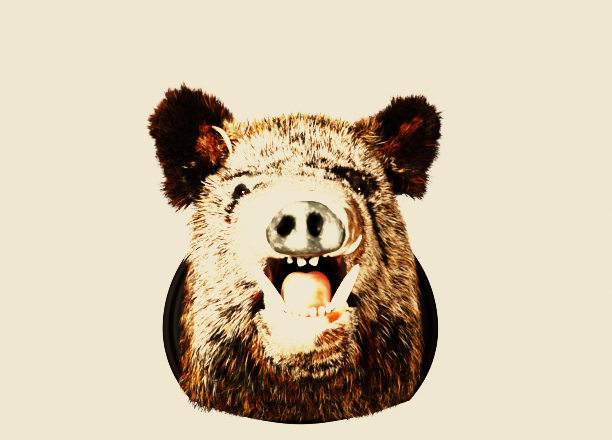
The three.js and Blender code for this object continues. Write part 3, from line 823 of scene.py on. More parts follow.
def nose_paints(points):
    """Shares and paints that make the pad grey and mottled, with pale painted highlights, black nostrils
    whose hollows are painted shade, and painted shadows below them.
    """
    x, reach, z = spots(points)
    face = np.full(len(x), float(PAD_REACH))
    pad, edge = pad_share(points), pad_edge(points)
    mottle = waves(points, 24, 11) + 0.7 * waves(points, 10, 12)
    fine = waves(points, 6, 14) + 0.8 * waves(points, 3.5, 15)
    rim = np.maximum(ramp(edge, 0.72, 0.95) * ramp(x + 0.6 * z, 0, 30), 1 - ramp(z, 11, 17))
    yield pad, PAINTS["nose"]
    yield pad * ramp(mottle + 0.7 * fine, 0.2, 1.5) * 0.8, PAINTS["nose_light"]
    yield pad * np.clip(ramp(-mottle - 0.5 * fine, 0.2, 1.4) + 0.8 * rim, 0, 1) * 0.85, PAINTS["nose_dark"]
    # Pale painted highlights on the pad.
    for aside, height, wide, tall in PAD_HIGHLIGHTS:
        away = np.hypot((x - aside) / wide, (z - height) / tall)
        yield pad * (1 - ramp(away + 0.25 * mottle + 0.18 * fine, 0.35, 1.35)), PAINTS["nose_highlight"]
    for nostril in NOSTRILS:
        line = nostril_line(*nostril)
        away = from_line(x, face, z + 2, line)[0] + 1.6 * mottle
        # A painted shadow runs down from each nostril, and outwards too from the one on the boar's right.
        below_nostril, _ = from_line(x, face, z, line - (8 if nostril[0] < 0 else 0, 0, 12))
        yield pad * (1 - ramp(below_nostril + 1.8 * mottle + 1.5 * fine, 3.5, 10)) * 0.85, PAINTS["nostril_shadow"]
        yield pad * (1 - ramp(away + 1.5 * fine, 3.5, 9.5)), PAINTS["nostril_edge"]
        # Inside each nostril, near black painted shade.
        hollow = (1 - ramp(away, 5.0, 6.4)) * (1 - ramp(reach, 612, 617)) * ramp(reach, 584, 589)
        yield hollow, PAINTS["nostril_shade"]
    for aside, height, wide in SORES:
        mark = 1 - ramp(np.hypot(x - aside, z - height) / wide + 0.35 * mottle, 0.4, 1.2)
        yield mark * ramp(reach, 470, 490), PAINTS["sore"]


def mouth_paints(points, normals):
    """Shares and paints of the lips, the gums and the inside of the mouth, which is painted near black as
    shade, darker further back and at the mouth's corners where they face down.
    """
    x, reach, z = spots(points)
    inside = 1 - ramp(mouth_distance(x, reach, z), 1.04, 1.22)
    # Painted shade at the mouth's corners, where they face down.
    corner = ramp(-np.abs(x), -60, -53) * ramp(z, -16, -8) * (1 - ramp(z, 20, 27)) * ramp(reach, 425, 450)
    corner *= (1 - ramp(reach, 545, 575)) * ramp(-normals[:, 2], -0.1, 0.35)
    inside = np.maximum(inside, corner)
    streak = ramp(waves(points * (1, 0.15, 0.3), 7, 31), 0.2, 1.4)
    cheek = ramp(np.abs(x), 22, 36) * ramp(z, -10, 6) * (0.35 + 0.65 * ramp(x, 0, 30))
    flesh = MOUTH_SHADE_AND_COLOURS[0] + cheek[:, None] * MOUTH_SHADE_AND_COLOURS[1]
    flesh = flesh + (cheek * streak)[:, None] * MOUTH_SHADE_AND_COLOURS[2]
    # Painted shade, darker further back in the mouth.
    flesh *= (1 - 0.85 * ramp(-reach, -480, -400))[:, None]
    yield inside, np.column_stack([flesh, np.full(len(x), MOUTH_WET)])
    upper = (1 - ramp(np.abs(z - 7), 1.5, 4)) * ramp(reach, 575, 590) * (1 - inside) * (1 - pad_share(points))
    yield upper * 0.8, PAINTS["lip_red"]
    lower = jaw_lip(reach, z) * (1 - inside)
    yield lower * 0.75, PAINTS["lip_pale"]
    # Tan on the lower lip's left side, partly painted shade.
    yield lower * ramp(x, 8, 26) * 0.8, PAINTS["lip_tan_and_shade"]
    gum = (1 - ramp(np.hypot((reach - 580) / 14, (z + 54) / 11), 0.6, 1.2)) * (1 - ramp(np.abs(x), 30, 38))
    # The gum's red fades on the boar's right side, painted light there.
    yield gum * (0.30 + 0.70 * ramp(x, -6, 8)), PAINTS["gum"]


def eyelid_paints(points):
    """Shares and paints of the dark rims of the eyelids, and of the dark skin at their corners."""
    for side in SIDES.values():
        beyond, a, b = slit_distance(points, side)
        far = 10 * (beyond > 3)
        outer = np.hypot((a - 1.1) / 0.8, (b + 0.30) / 0.6) + far
        inner = np.hypot((a + 1.25) / 0.6, (b + 0.15) / 0.3) + far
        yield 1 - ramp(beyond, 0.30, 0.70), PAINTS["eyelid"]
        yield (1 - ramp(outer, 0.6, 1.3)) * 0.95, PAINTS["outer_corner"]
        yield (1 - ramp(inner, 0.5, 1.2)) * 0.9, PAINTS["inner_corner"]


def skin_colours(points, normals):
    """The colour of the skin under the coat, and how bare and wet it is."""
    shares = ink_shares(points)
    furry = (1 - ramp(-points[:, 1], 420, 500)) * (1 - 0.75 * paleness(shares))
    painted = np.column_stack([shares @ INKS * (1 - 0.40 * furry)[:, None], np.zeros(len(points))])
    for share, paint in chain(nose_paints(points), mouth_paints(points, normals), eyelid_paints(points)):
        share = np.clip(share, 0, 1)[:, None]
        painted = painted * (1 - share) + np.array(paint) * share
    return painted[:, :3], painted[:, 3]


def slit_distance(points, side):
    """How far each point is beyond the slit of an eye, and its place along and up it, in eyeball radii."""
    centre, gaze, along, up = eye_frame(side)
    offset = points * FLIP - centre
    a, b = offset @ along / EYE["radius"], offset @ up / EYE["radius"]
    bow = 1 - (a / SLIT["half_length"]) ** 2
    beyond = np.maximum(b - SLIT["upper"] * bow, -b - SLIT["lower"] * bow)
    near = (offset @ gaze > -2) & (np.linalg.norm(offset, axis=1) < EYE["radius"] + 12)
    return np.where(near, beyond, 9.0), a, b


def jaw_lip(reach, z):
    """1 along the rolled edge of the lower lip."""
    height = np.interp(reach, [440, 490, 530, 560, 580, 596], [-16, -18, -24, -38, -50, -58])
    return (1 - ramp(np.abs(z - height), 3.5, 6.5)) * ramp(reach, 450, 520)


# ---- The coat ----

# Length of the hair along the reach: on top, at the sides and below.
HAIR_TOP = ([20, 200, 300, 340, 400, 450, 500, 560, 604], [40, 42, 36, 23, 14, 8.5, 6, 4.5, 3])
HAIR_SIDE = ([20, 150, 300, 350, 400, 440, 480, 540, 604], [44, 47, 42, 34, 26, 19, 11, 5.5, 3])
HAIR_BELOW = ([20, 250, 350, 430, 500, 560, 600], [46, 54, 48, 34, 21, 12, 8])
COVER = 4.6  # how many hairs lie over each place
CLUMP, GATHER = 8, 0.35  # hairs in a clump, and how far their tips go to its middle (0 to 1)
# Where the hair is longer and stands out further: x, reach and height of the middle, radius, and how far.
RUFFS = (
    ((-120, 315, 128), 42, 15), ((-130, 318, 85), 36, 9), ((-60, 290, 216), 26, 10), ((60, 290, 216), 26, 10),
    ((0, 300, 232), 50, 4), ((-145, 70, -88), 44, 14), ((152, 90, -84), 22, 8),
)
COAT_PIECES = 8
SHIELD_FACE = 23  # the reach that the tips of the hair keep clear of
HEIGHTS = (-143, 284)  # the lowest and the highest that the tips of the hair go

# The way that the hair lies: outwards to its side, back to the wall, and up.
LIES = {
    "face": (0.55, 0.80, -0.32), "neck": (0.25, 0.75, -0.62), "top": (0.22, 1.0, 0.45),
    "below": (0.30, 0.62, -0.75), "snout": (0.18, 1.0, 0.06),
}


def bare_places(points):
    """Where no hair grows: the pad of the nose, the mouth and lips, and the slits of the eyes."""
    x, reach, z = spots(points)
    bare = ((reach > 600) & (z > 2)) | (mouth_distance(x, reach, z) < 1.3) | (reach < 26)
    bare |= (jaw_lip(reach, z) > 0.3) & (np.abs(x) < 60)
    for side in SIDES.values():
        bare |= slit_distance(points, side)[0] < 0.34
    return bare


def lie_of_coat(points, normals):
    """The way that the hair lies at each point."""
    x, reach, z = spots(points)
    upper, lower = (share[:, None] for share in around_body(x, reach, z))
    snout = ramp(reach, 430, 490)[:, None]
    back = ramp(-reach, -330, -250)[:, None]
    one = np.ones(len(points))
    aside = np.stack([np.tanh(x / 45), one, one], axis=1)
    lies = {place: aside * way for place, way in LIES.items()}
    middle = lies["face"] * (1 - back) + lies["neck"] * back
    lie = middle + upper * (lies["top"] - middle) + lower * (lies["below"] - middle)
    lie = lie * (1 - snout) + snout * lies["snout"]
    swirl = np.stack([waves(points, 90, seed) for seed in (21, 22, 23)], axis=1)
    return normalized(across(normalized(lie) + 0.16 * swirl, normals))


ROOT_DEPTH = 0.6  # how deep in the skin the tufts start
CORNERS = [0.5 * math.pi + turn for turn in (0.0, 2.094, 4.189)]  # of a tuft's three sides
PATCH_SIZE = (0.0015, 0.0022)  # of a tuft's patch on the map: half its width, and its length


def tufts(roots, normals, lie, length, rise, width, pull, root_colours, tip_colours, sections, random):
    """Tapered, bowed tufts with three sides. Returns their points, triangles and colours, where each point is
    on the tuft's patch of the map, and how many points a tuft has."""
    count = len(roots)
    side = normalized(np.cross(lie, normals))
    sway = random.normal(0, 0.06, count)
    steps = np.linspace(0, 1, sections + 1)
    middles = []
    for t in steps:
        height = rise * (1 - (1 - t) ** 1.8) - ROOT_DEPTH * (1 - t)
        run = np.sqrt(np.maximum(length**2 - rise**2, 0.05 * length**2)) * t
        centre = roots + lie * run[:, None] + normals * height[:, None]
        middles.append(centre + side * (sway * length * t * t)[:, None] + pull * t * t)
    points, colours, patch = [], [], []
    for i, t in enumerate(steps[:-1]):
        half = width * 0.5 * (0.62 + 0.38 * math.sin(math.pi * min(t * 1.6 + 0.15, 1))) * (1 - 0.35 * t)
        along = normalized(middles[i + 1] - middles[i])
        up = normalized(np.cross(side, along))
        over = np.cross(along, up)
        for angle in CORNERS:
            points.append(middles[i] + half[:, None] * (over * math.cos(angle) + 0.6 * up * math.sin(angle)))
            colours.append(root_colours * (1 - t) + tip_colours * t)
            patch.append((PATCH_SIZE[0] * math.cos(angle), PATCH_SIZE[1] * t))
    points.append(middles[-1])
    colours.append(tip_colours)
    patch.append((0.0, PATCH_SIZE[1]))
    faces = [(0, 2, 1)]
    for i in range(sections - 1):
        for j in range(3):
            a, b = 3 * i + j, 3 * i + (j + 1) % 3
            faces += [(a, b, b + 3), (a, b + 3, a + 3)]
    last = 3 * (sections - 1)
    faces += [(last + j, last + (j + 1) % 3, last + 3) for j in range(3)]
    each = len(points)
    corners = np.stack(points, axis=1).reshape(-1, 3)
    shades = np.stack(colours, axis=1).reshape(-1, 3)
    offsets = np.tile(np.array(patch), (count, 1))
    triangles = (np.array(faces)[None] + each * np.arange(count)[:, None, None]).reshape(-1, 3)
    return corners, triangles, shades, offsets, each


def scatter(points, normals, triangles, weight, count, random):
    """Roots spread over a surface by the weight of its corners, and the normals there. With no count, the
    weight is the number of roots on a square millimetre."""
    corners = points[triangles]
    sides = corners[:, 1] - corners[:, 0], corners[:, 2] - corners[:, 0]
    area = 0.5 * np.linalg.norm(np.cross(*sides), axis=1)
    chance = np.cumsum(area * weight[triangles].mean(axis=1))
    count = count or int(chance[-1])
    places = (np.arange(count) + random.random(count)) / count * chance[-1]
    chosen = np.minimum(np.searchsorted(chance, places), len(triangles) - 1)
    r, t = np.sqrt(random.random(count)), random.random(count)
    shares = np.stack([1 - r, r * (1 - t), r * t], axis=1)[:, :, None]
    roots = (corners[chosen] * shares).sum(axis=1)
    return roots, normalized((normals[triangles[chosen]] * shares).sum(axis=1))


def clumps(roots, size, random):
    """Gathers about `size` hairs to a clump: each hair's clump, and the way to the clump's middle."""
    middles = roots[random.random(len(roots)) < 1.0 / size]
    tree = kdtree.KDTree(len(middles))
    for i, middle in enumerate(middles):
        tree.insert(middle, i)
    tree.balance()
    nearest = np.array([tree.find(root)[1] for root in roots])
    return nearest, middles[nearest] - roots


# Roots are darker than tips, partly as the hair's own colour and partly as painted shade among the hairs.
# They also turn by this warm tint of that shade, and get this colour added where they aren't pale.
ROOT_SHADE_TINT, ROOT_SHADE_WARMTH = (1.08, 0.92, 0.86), (0.020, 0.010, 0.005)


def hair_colours(points, clump, together, blend, random):
    """The colours of each hair's root and tip. A share of the hairs takes its clump's ink, and all blend."""
    shares = ink_shares(points)
    pale = np.maximum(ramp(-points[:, 1], 430, 500), 0.75 * paleness(shares))[:, None]
    shares = np.cumsum(shares, axis=1)
    chance = random.random(len(points))
    own = random.random(clump.max() + 1)[clump]
    chance = np.where(random.random(len(points)) < together, own, chance)
    tip = INKS[np.minimum((chance[:, None] > shares).sum(axis=1), len(INKS) - 1)]
    mean = np.diff(shares, axis=1, prepend=0) @ INKS
    tip = tip + blend * (mean - tip)
    # Roots darkened, partly as painted shade among the hairs, less where the hair is pale.
    root = tip * (0.34 + 0.62 * pale) * ROOT_SHADE_TINT + np.array(ROOT_SHADE_WARMTH) * (1 - pale)
    shade = np.exp(random.normal(0, 0.14, len(points)))[:, None]
    return root * shade, tip * shade


def unwrap(points):
    """A flat map of the body: round it across the map, and along its reach up the map."""
    x, reach, z = spots(points)
    turn = np.arctan2(x, z - np.interp(reach, *MIDDLE)) / (2 * math.pi)
    return np.stack([0.02 + 0.70 * (turn + 0.5), 0.02 + 0.95 * reach / 640], axis=1)


def unwrap_ear(points, name):
    """A flat map of an ear, beside the body's: its front and its back each have their own part."""
    share, u, depth = ear_place(points, name)
    column = {"left": 0.76, "right": 0.88}[name] + 0.05 * np.clip(u, -1, 1)
    row = 0.04 + 0.35 * np.clip(share + 0.2, 0, 1.4) + np.where(depth > 0, 0.0, 0.5)
    return np.stack([column + 0.02, row], axis=1)


def coat_piece(name, batches, slot, material):
    """One mesh from batches of tufts, each with its own unwrapped roots."""
    points, faces, colours, maps, start = [], [], [], [], 0
    for (corners, triangles, shades, offsets, each), places in batches:
        points.append(corners)
        faces.append(triangles + start)
        colours.append(shades)
        maps.append(np.repeat(places, each, axis=0) + offsets)
        start += len(corners)
    piece = mesh_object(name, np.vstack(points), np.vstack(faces), slot, material, Shade=np.vstack(colours))
    layer = piece.data.uv_layers.new(name="OFBake")
    loops = np.empty(len(piece.data.loops), dtype=np.int32)
    piece.data.loops.foreach_get("vertex_index", loops)
    layer.data.foreach_set("uv", np.vstack(maps)[loops].astype(np.float32).ravel())


def trimmed(roots, up, lie, length, rise):
    """The length and rise of each hair, cut where its tip would pass the lowest or highest place allowed."""
    run = np.sqrt(np.maximum(length**2 - rise**2, 0))
    tips = lean(roots + lie * run[:, None] + up * rise[:, None], 1)[:, 2]
    starts = lean(roots, 1)[:, 2]
    travel = np.where(np.abs(tips - starts) > 0.1, tips - starts, 0.1)
    share = np.clip((np.clip(tips, *HEIGHTS) - starts) / travel, 0.2, 1)
    return length * share, rise * share


def hair_width(length):
    return 0.37 * length**0.40


def body_roots(skin):
    """The roots of the hair on the head and neck, from the nose to the wall, and the skin's normals there."""
    points, normals, triangles = mesh_arrays(skin)
    x, reach, z = spots(points)
    length = by_place(x, reach, z, HAIR_TOP, HAIR_SIDE, HAIR_BELOW)
    on_ear = np.zeros(len(points))
    for name in SIDES:
        share, _, depth = ear_place(points, name)
        on_ear = np.maximum(on_ear, ramp(share, 0.05, 0.2) * (np.abs(x) > 60) * (np.abs(depth) < 12))
    weight = COVER / (0.5 * length * hair_width(length)) * ~bare_places(points) * (1 - on_ear)
    weight *= 1 - 0.72 * ramp(reach, 440, 500) * ramp(z, -20, 0)
    weight *= (normals[:, 1] < 0.5) | (reach > 60)
    roots, up = scatter(points, normals, triangles, weight, None, RANDOM)
    hairy = ~bare_places(roots)
    roots, up = roots[hairy], up[hairy]
    order = np.argsort(roots[:, 1])
    return roots[order], up[order]


def body_lengths(roots):
    """The mean length of the hair at each root, and how far its tips stand out there."""
    x, reach, z = spots(roots)
    length = by_place(x, reach, z, HAIR_TOP, HAIR_SIDE, HAIR_BELOW)
    depth = by_place(x, reach, z, DEPTH_TOP, DEPTH_SIDE, DEPTH_BELOW)
    for side in SIDES.values():
        near = 1 - ramp(from_eye(x, reach, z, side), 16, 44)
        length *= 1 - 0.66 * near
        depth *= 1 - 0.6 * near
    for name in SIDES:
        share, u, _ = ear_place(roots, name)
        near = ramp(share, -0.45, 0.0) * (np.abs(x) > 70) * (1 - ramp(np.abs(u), 1.1, 1.6))
        length *= 1 - 0.55 * near
        depth *= 1 - 0.4 * near
    for centre, radius, extra in RUFFS:
        away = np.linalg.norm(roots - np.array(centre) * FLIP, axis=1)
        near = 1 - ramp(away, 0.4 * radius, 1.1 * radius)
        length += 1.2 * extra * near
        depth += extra * near
    return length, depth


def make_body_coat(skin, material):
    roots, up = body_roots(skin)
    x, reach, z = spots(roots)
    length, depth = body_lengths(roots)
    length *= np.exp(RANDOM.normal(0, 0.2, len(roots)))
    lie = lie_of_coat(roots, up)
    lie = normalized(across(lie + RANDOM.normal(0, 0.13, (len(roots), 3)), up))
    rise = np.minimum(depth * RANDOM.uniform(0.35, 1.15, len(roots)), 0.8 * length)
    room = np.maximum(reach - SHIELD_FACE, 4) / np.maximum(lie[:, 1], 0.05)
    length = np.minimum(length, np.hypot(room, rise))
    rise = np.minimum(rise, 0.9 * length)
    length, rise = trimmed(roots, up, lie, length, rise)
    width = hair_width(length) * RANDOM.uniform(0.75, 1.25, len(roots))
    clump, towards = clumps(roots, CLUMP, RANDOM)
    pull = GATHER * towards
    below = around_body(x, reach, z)[1] * (1 - ramp(reach, 480, 520))
    shown = roots + lie * 0.55 * length[:, None] + up * rise[:, None]
    root_colours, tip_colours = hair_colours(shown, clump, 0.35 + 0.45 * below, 0.12, RANDOM)
    hairs = (roots, up, lie, length, rise, width, pull, root_colours, tip_colours)
    places = unwrap(roots)
    # Long hair has more sections than short hair, and each piece gets a like number of triangles.
    sections = np.where(length < 8.5, 1, np.where(length < 23, 2, 3))
    cost = np.cumsum(6 * sections - 2)
    band = (cost * COAT_PIECES / (cost[-1] + 1)).astype(int)
    for i in range(COAT_PIECES):
        batches = []
        for kind in (1, 2, 3):
            own = (band == i) & (sections == kind)
            if own.any():
                batches.append((tufts(*(of_hair[own] for of_hair in hairs), kind, RANDOM), places[own]))
        coat_piece("coat_%d" % (i + 1), batches, "hide", material)


def make_ear_coat(skin, material):
    points, normals, triangles = mesh_arrays(skin)
    for name, side in SIDES.items():
        share, u, depth = ear_place(points, name)
        on_ear = (share > 0.0) & (np.abs(points[:, 0]) > 60) & (np.abs(depth) < 14) & (np.abs(u) < 1.3)
        weight = on_ear * (0.8 + 1.3 * ramp(np.maximum(np.abs(u), share), 0.7, 1.0))
        roots, up = scatter(points, normals, triangles, weight, EAR_TUFTS, RANDOM)
        share, u, depth = ear_place(roots, name)
        _, along, over, _ = ear_frame(name)
        edge = ramp(np.maximum(np.abs(u), share), 0.6, 1.0)
        out = over * np.clip(u, -1, 1)[:, None] * 1.1 + along * (0.35 + 0.75 * np.clip(share, 0, 1))[:, None]
        out = out + RANDOM.normal(0, 0.22, roots.shape)
        lie = normalized(out - up * (out * up).sum(axis=1, keepdims=True) * (1 - 0.75 * edge)[:, None])
        up = normalized(across(up, lie))
        clump, towards = clumps(roots, EAR_CLUMP, RANDOM)
        locks = np.clip(RANDOM.normal(0, 0.30, clump.max() + 1), -0.35, 0.50)[clump]
        length = EAR_HAIR * np.exp(locks * (0.3 + 0.7 * edge) + RANDOM.normal(0, 0.12, len(roots)))
        lower = ramp(-u * side, 0.5, 1.0) * (1 - ramp(share, 0.3, 0.9))
        upper = ramp(u * side, 0.5, 1.0) * ramp(share, 0.1, 0.4)
        length *= 1 + 0.35 * lower + EAR_CREST[name] * upper
        away = np.linalg.norm(roots - np.array(EAR_LOCK) * FLIP, axis=1)
        length += EAR_LOCK_EXTRA * np.exp(-(away / EAR_LOCK_SIZE) ** 2)
        rise = length * RANDOM.uniform(0.12, 0.40, len(roots)) * (1 - 0.5 * edge)
        length, rise = trimmed(roots, up, lie, length, rise)
        width = hair_width(length) * 1.15
        pull = EAR_GATHER * towards
        shown = roots + lie * 0.5 * length[:, None] + up * rise[:, None]
        root_colours, tip_colours = hair_colours(shown, clump, 0.5, 0.35, RANDOM)
        glow = (0.5 * ramp(edge, 0.85, 1.0) * RANDOM.random(len(roots)))[:, None]
        tip_colours += glow * (EAR_GLOW - tip_colours)
        batch = tufts(roots, up, lie, length, rise, width, pull, root_colours, tip_colours, 2, RANDOM)
        coat_piece("coat_ear_" + name, [(batch, unwrap_ear(roots, name))], "ear_hide", material)


# ---- Eyes, tusks, teeth and tongue ----


def capped(rings):
    """The points and triangles of a closed form through rings of points, its ends closed by fans."""
    rings = np.asarray(rings)
    count, around = rings.shape[:2]
    points = np.vstack([rings.reshape(-1, 3), rings[0].mean(axis=0), rings[-1].mean(axis=0)])
    turn = np.arange(around)
    after = (turn + 1) % around
    first = around * np.arange(count - 1)[:, None]
    a, b = (first + turn).ravel(), (first + after).ravel()
    faces = [np.stack([a, b, b + around], axis=1), np.stack([a, b + around, a + around], axis=1)]
    last = (count - 1) * around
    faces.append(np.stack([np.full(around, count * around), after, turn], axis=1))
    faces.append(np.stack([np.full(around, count * around + 1), last + turn, last + after], axis=1))
    faces = np.vstack(faces)
    return points, outwards(points, faces)


TUSK_AROUND = 28  # points in each ring of a tusk
TOOTH_AROUND = 20
EYE_AROUND = 48


def swept(line, radii, around, shape=None):
    """Rings along a line of points (x, y, z)."""
    line = np.asarray(line, dtype=float)
    tangents = normalized(np.gradient(line, axis=0))
    upright = abs(tangents[0][2]) >= 0.9
    side = normalized(np.cross(tangents[0], (0.0, 1.0, 0.0) if upright else (0.0, 0.0, 1.0)))
    rings = []
    for point, tangent, radius in zip(line, tangents, radii):
        side = normalized(side - tangent * (side @ tangent))
        other = np.cross(tangent, side)
        turn = circle(around)
        scale = radius * (np.ones(around) if shape is None else shape(turn))
        rings.append(point + scale[:, None] * (np.cos(turn)[:, None] * side + np.sin(turn)[:, None] * other))
    return rings


# The bare edge of the cartilage that shows in the hollow of one ear: points, and its radius at each.
CARTILAGE = (
    (-116, 290, 229, 0.5), (-107, 294, 227, 1.4), (-99, 298, 222, 2.3), (-92, 302, 213, 2.8),
    (-88, 308, 203, 2.9), (-85, 315, 192, 2.0), (-84, 320, 184, 0.7),
)
CARTILAGE_RED, CARTILAGE_CREAM = np.array([0.36, 0.085, 0.028]), np.array([0.60, 0.37, 0.26])


def make_cartilage(material):
    rows = spline(CARTILAGE, 30)
    points, faces = capped(swept(rows[:, :3] * FLIP, rows[:, 3], around=16))
    pale = ramp(points[:, 0] + 0.6 * waves(points, 5, 51), -112, -94)[:, None]
    shades = CARTILAGE_RED + pale * (CARTILAGE_CREAM - CARTILAGE_RED)
    bare = np.full(len(points), 0.2)
    mesh_object("ear_cartilage", points, faces, "hide", material, Shade=shades, Bare=bare)


# Places along each tusk from its root, its radius at the root and near the tip, and the power of its taper.
TUSKS = {
    "lower": ([(19, 548, -66), (29, 552, -40), (42, 550, -16), (56, 541, 8)], 7.0, 2.8, 4.0),
    "upper": ([(33, 545, 26), (42, 549, 22), (52, 551, 27), (60, 548, 39)], 4.4, 2.0, 2.5),
}
TUSK_END = (0.97, 0.88, 0.68, 0.30)  # how the last rings round off the tip


def make_tusk(tooth, side_name, material):
    places, root, tip, taper = TUSKS[tooth]
    share = np.linspace(0, 1, 40)
    line = spline(mirrored(places, SIDES[side_name]), len(share)) * FLIP
    radii = root + (tip - root) * share**taper
    radii[-len(TUSK_END):] *= TUSK_END
    rings = swept(line, radii, TUSK_AROUND, shape=lambda turn: 1 - 0.07 * np.cos(3 * turn + 0.6))
    points, faces = capped(rings)
    name = "%s_%s" % (tooth, side_name)
    along = np.append(np.repeat(share, TUSK_AROUND), [0, 1])
    mesh_object("ivory_" + name, points, faces, "ivory", material, ["tusk_" + name], Along=along)


# Front teeth: x, reach and height of the middle, half width, length, forward and sideways lean in radians.
UPPER_TEETH = (
    (-6.6, 591, 8.0, 4.3, 13.5, 0.25, 0.35), (8.6, 591, 8.4, 4.3, 13.5, 0.25, -0.50),
    (-17.8, 587, 10.5, 2.4, 11, 0.15, 0.1), (19.5, 586, 15.5, 2.2, 10, 0.15, -0.1),
    (-25.5, 578, 16, 1.8, 8, 0.0, 0.1), (26, 578, 16, 1.8, 8, 0.0, 0.0),
)
LOWER_TEETH = (
    (-5.4, 585, -51, 2.9, 14, 0.7, 0.05), (4.6, 587, -50, 3.6, 16, 0.7, -0.10),
    (-13.4, 581, -50, 2.7, 14, 0.6, -0.1), (13.4, 585, -49, 3.3, 16, 0.65, 0.10),
    (-20.5, 574, -46, 2.2, 13, 0.4, 0.1), (21.2, 577, -44, 2.7, 14, 0.4, 0.2),
)
# A tooth's rings: place along it, from -0.5 at its root, and shares of the half width: across, front to back.
TOOTH_RINGS = (
    (-0.5, 0.62, 0.62), (-0.2, 0.74, 0.64), (0.1, 0.90, 0.60), (0.28, 1.0, 0.52),
    (0.40, 0.96, 0.42), (0.47, 0.80, 0.30), (0.5, 0.50, 0.16),
)


def tooth_rings(tooth, up):
    """A front tooth: a flattened peg with a rounded edge, narrower and thicker at its root."""
    x, reach, z, half, length, forward, sideways = tooth
    axis = np.array([math.sin(sideways), -math.sin(forward), up * math.cos(forward)])
    front = np.array([0.0, -math.cos(forward), -up * math.sin(forward)])
    aside = np.array([math.cos(sideways), 0, -up * math.sin(sideways)])
    turn = circle(TOOTH_AROUND)[:, None]
    rings = []
    for share, wide, deep in TOOTH_RINGS:
        centre = np.array([x, -reach, z]) + axis * share * length
        rings.append(centre + half * (np.cos(turn) * aside * wide + np.sin(turn) * front * deep))
    return rings


def make_teeth(name, teeth, up, material):
    points, faces, along, start = [], [], [], 0
    for tooth in teeth:
        rings = tooth_rings(tooth, up)
        own_points, own_faces = capped(rings)
        points.append(own_points)
        faces.append(own_faces + start)
        along += list(np.repeat(np.linspace(0.3, 1, len(rings)), TOOTH_AROUND)) + [0.3, 1]
        start += len(own_points)
    mesh_object(name, np.vstack(points), np.vstack(faces), "ivory", material, Along=along)


# Reach, top, bottom, half width, height of the widest line, squareness above and below it.
TONGUE = np.array([
    (384, -10, -60, 22, -28, 2.6, 2.2), (430, 3, -60, 27, -26, 3.0, 2.2), (480, 9, -60, 28, -24, 3.1, 2.2),
    (518, 5, -60, 27, -26, 3.0, 2.2), (548, -9, -62, 24, -34, 2.8, 2.2), (568, -26, -64, 18, -44, 2.4, 2.2),
    (577, -38, -64, 9, -50, 2.2, 2.2),
])
TONGUE_FLOOR = -58  # the height of its flat underside


def make_tongue(material):
    turn = circle(64)
    over, rising = np.cos(turn), np.sin(turn)
    rings = []
    for reach, top, bottom, half, widest, above, below in spline(TONGUE, 60):
        power = 2 / np.where(rising > 0, above, below)
        x = np.sign(over) * np.abs(over) ** power * half
        tall = np.where(rising > 0, top - widest, widest - bottom)
        upward = np.sign(rising) * np.abs(rising) ** power
        z = upward * tall + widest
        on_top = ramp(upward, 0.5, 1.0)
        z = z - on_top * 2.2 * np.exp(-((x / 3.0) ** 2))  # the groove along its middle
        z = z + on_top * 0.6 * np.exp(-(((np.abs(x) - 16) / 8) ** 2))  # the swell beside it
        z = z + on_top * 0.5 * np.sin(reach * 0.45 + x * 0.2)  # ripples
        rings.append(np.stack([x * (1 + 0.015 * np.sin(reach * 0.21)), np.full(len(x), -reach), z], axis=1))
    points, faces = capped(rings)
    points[:, 2] = np.maximum(points[:, 2], TONGUE_FLOOR)
    mesh_object("tongue_flesh", points, faces, "tongue", material, ["tongue"])


def make_eye(name, material):
    """An eyeball with its clear front bulging a little where the eye looks."""
    centre, gaze, along, up = (vector * FLIP for vector in eye_frame(SIDES[name]))
    turn = circle(EYE_AROUND)[:, None]
    tilts = np.linspace(0.02, math.pi - 0.02, 36)
    rings = []
    for tilt in tilts:
        radius = EYE["radius"] * (1 + 0.045 * (1 - ramp(tilt, 0.35, 0.85))) - 0.35
        middle = centre + radius * math.cos(tilt) * gaze
        rings.append(middle + radius * math.sin(tilt) * (np.cos(turn) * along + np.sin(turn) * up))
    points, faces = capped(rings)
    tilt_of_point = np.append(np.repeat(tilts, EYE_AROUND), [0, math.pi])
    mesh_object("eyeball_" + name, points, faces, "eye", material, ["eye_" + name], Tilt=tilt_of_point)


# ---- The shield ----

SHIELD = {
    "half_width": 198.0, "top": 190.0, "side_drop": 170.0, "corner": -105.0, "bottom": -139.0, "bend": 60.0,
}
# The hanger plate, the recess round it, and the pocket behind it for the screw's head: width, depth, height.
HANGER = {"width": 20.0, "long": 62.0, "height": 120.0, "recess_gap": 0.3, "recess_depth": 3.0}
POCKET, POCKET_RISE = (14.0, 9.0, 36.0), 2.0
PAST_BACK = 1.0  # how far the cutters stand out of the shield's back
# The moulded edge, from the wall outwards: reach and how far in from the widest outline.
MOULDING = (
    (0.0, 0.8), (0.8, 0.0), (9.0, 0.0), (10.6, 0.5), (11.8, 1.8), (12.4, 3.6), (12.6, 7.5), (13.2, 9.6),
    (14.6, 11.4), (16.6, 12.4), (18.4, 13.6), (19.8, 15.6), (20.6, 18.2), (21.0, 21.5),
)


def shield_outline(inset, count=120):
    """Points round the shield, `inset` in from its edge, from the boar's left over the top."""
    half, drop = SHIELD["half_width"] - inset, SHIELD["side_drop"] - inset
    corner, bottom = SHIELD["corner"] + 0.8 * inset, SHIELD["bottom"] + inset
    angle = math.asin(-corner / drop)
    over = np.linspace(0, math.pi, count)
    down = np.linspace(math.pi, math.pi + angle, count // 3)[1:]
    points = [(half * math.cos(a), (SHIELD["top"] - inset) * math.sin(a)) for a in over]
    points += [(half * math.cos(a), drop * math.sin(a)) for a in down]
    start = np.array(points[-1])
    bend, end = np.array([-SHIELD["bend"], bottom]), np.array([0, bottom])
    for t in np.linspace(0, 1, count // 4)[1:]:
        points.append(tuple((1 - t) ** 2 * start + 2 * t * (1 - t) * bend + t * t * end))
    lower = [(-x, z) for x, z in points[count:]]
    return np.array(points + lower[::-1][1:])


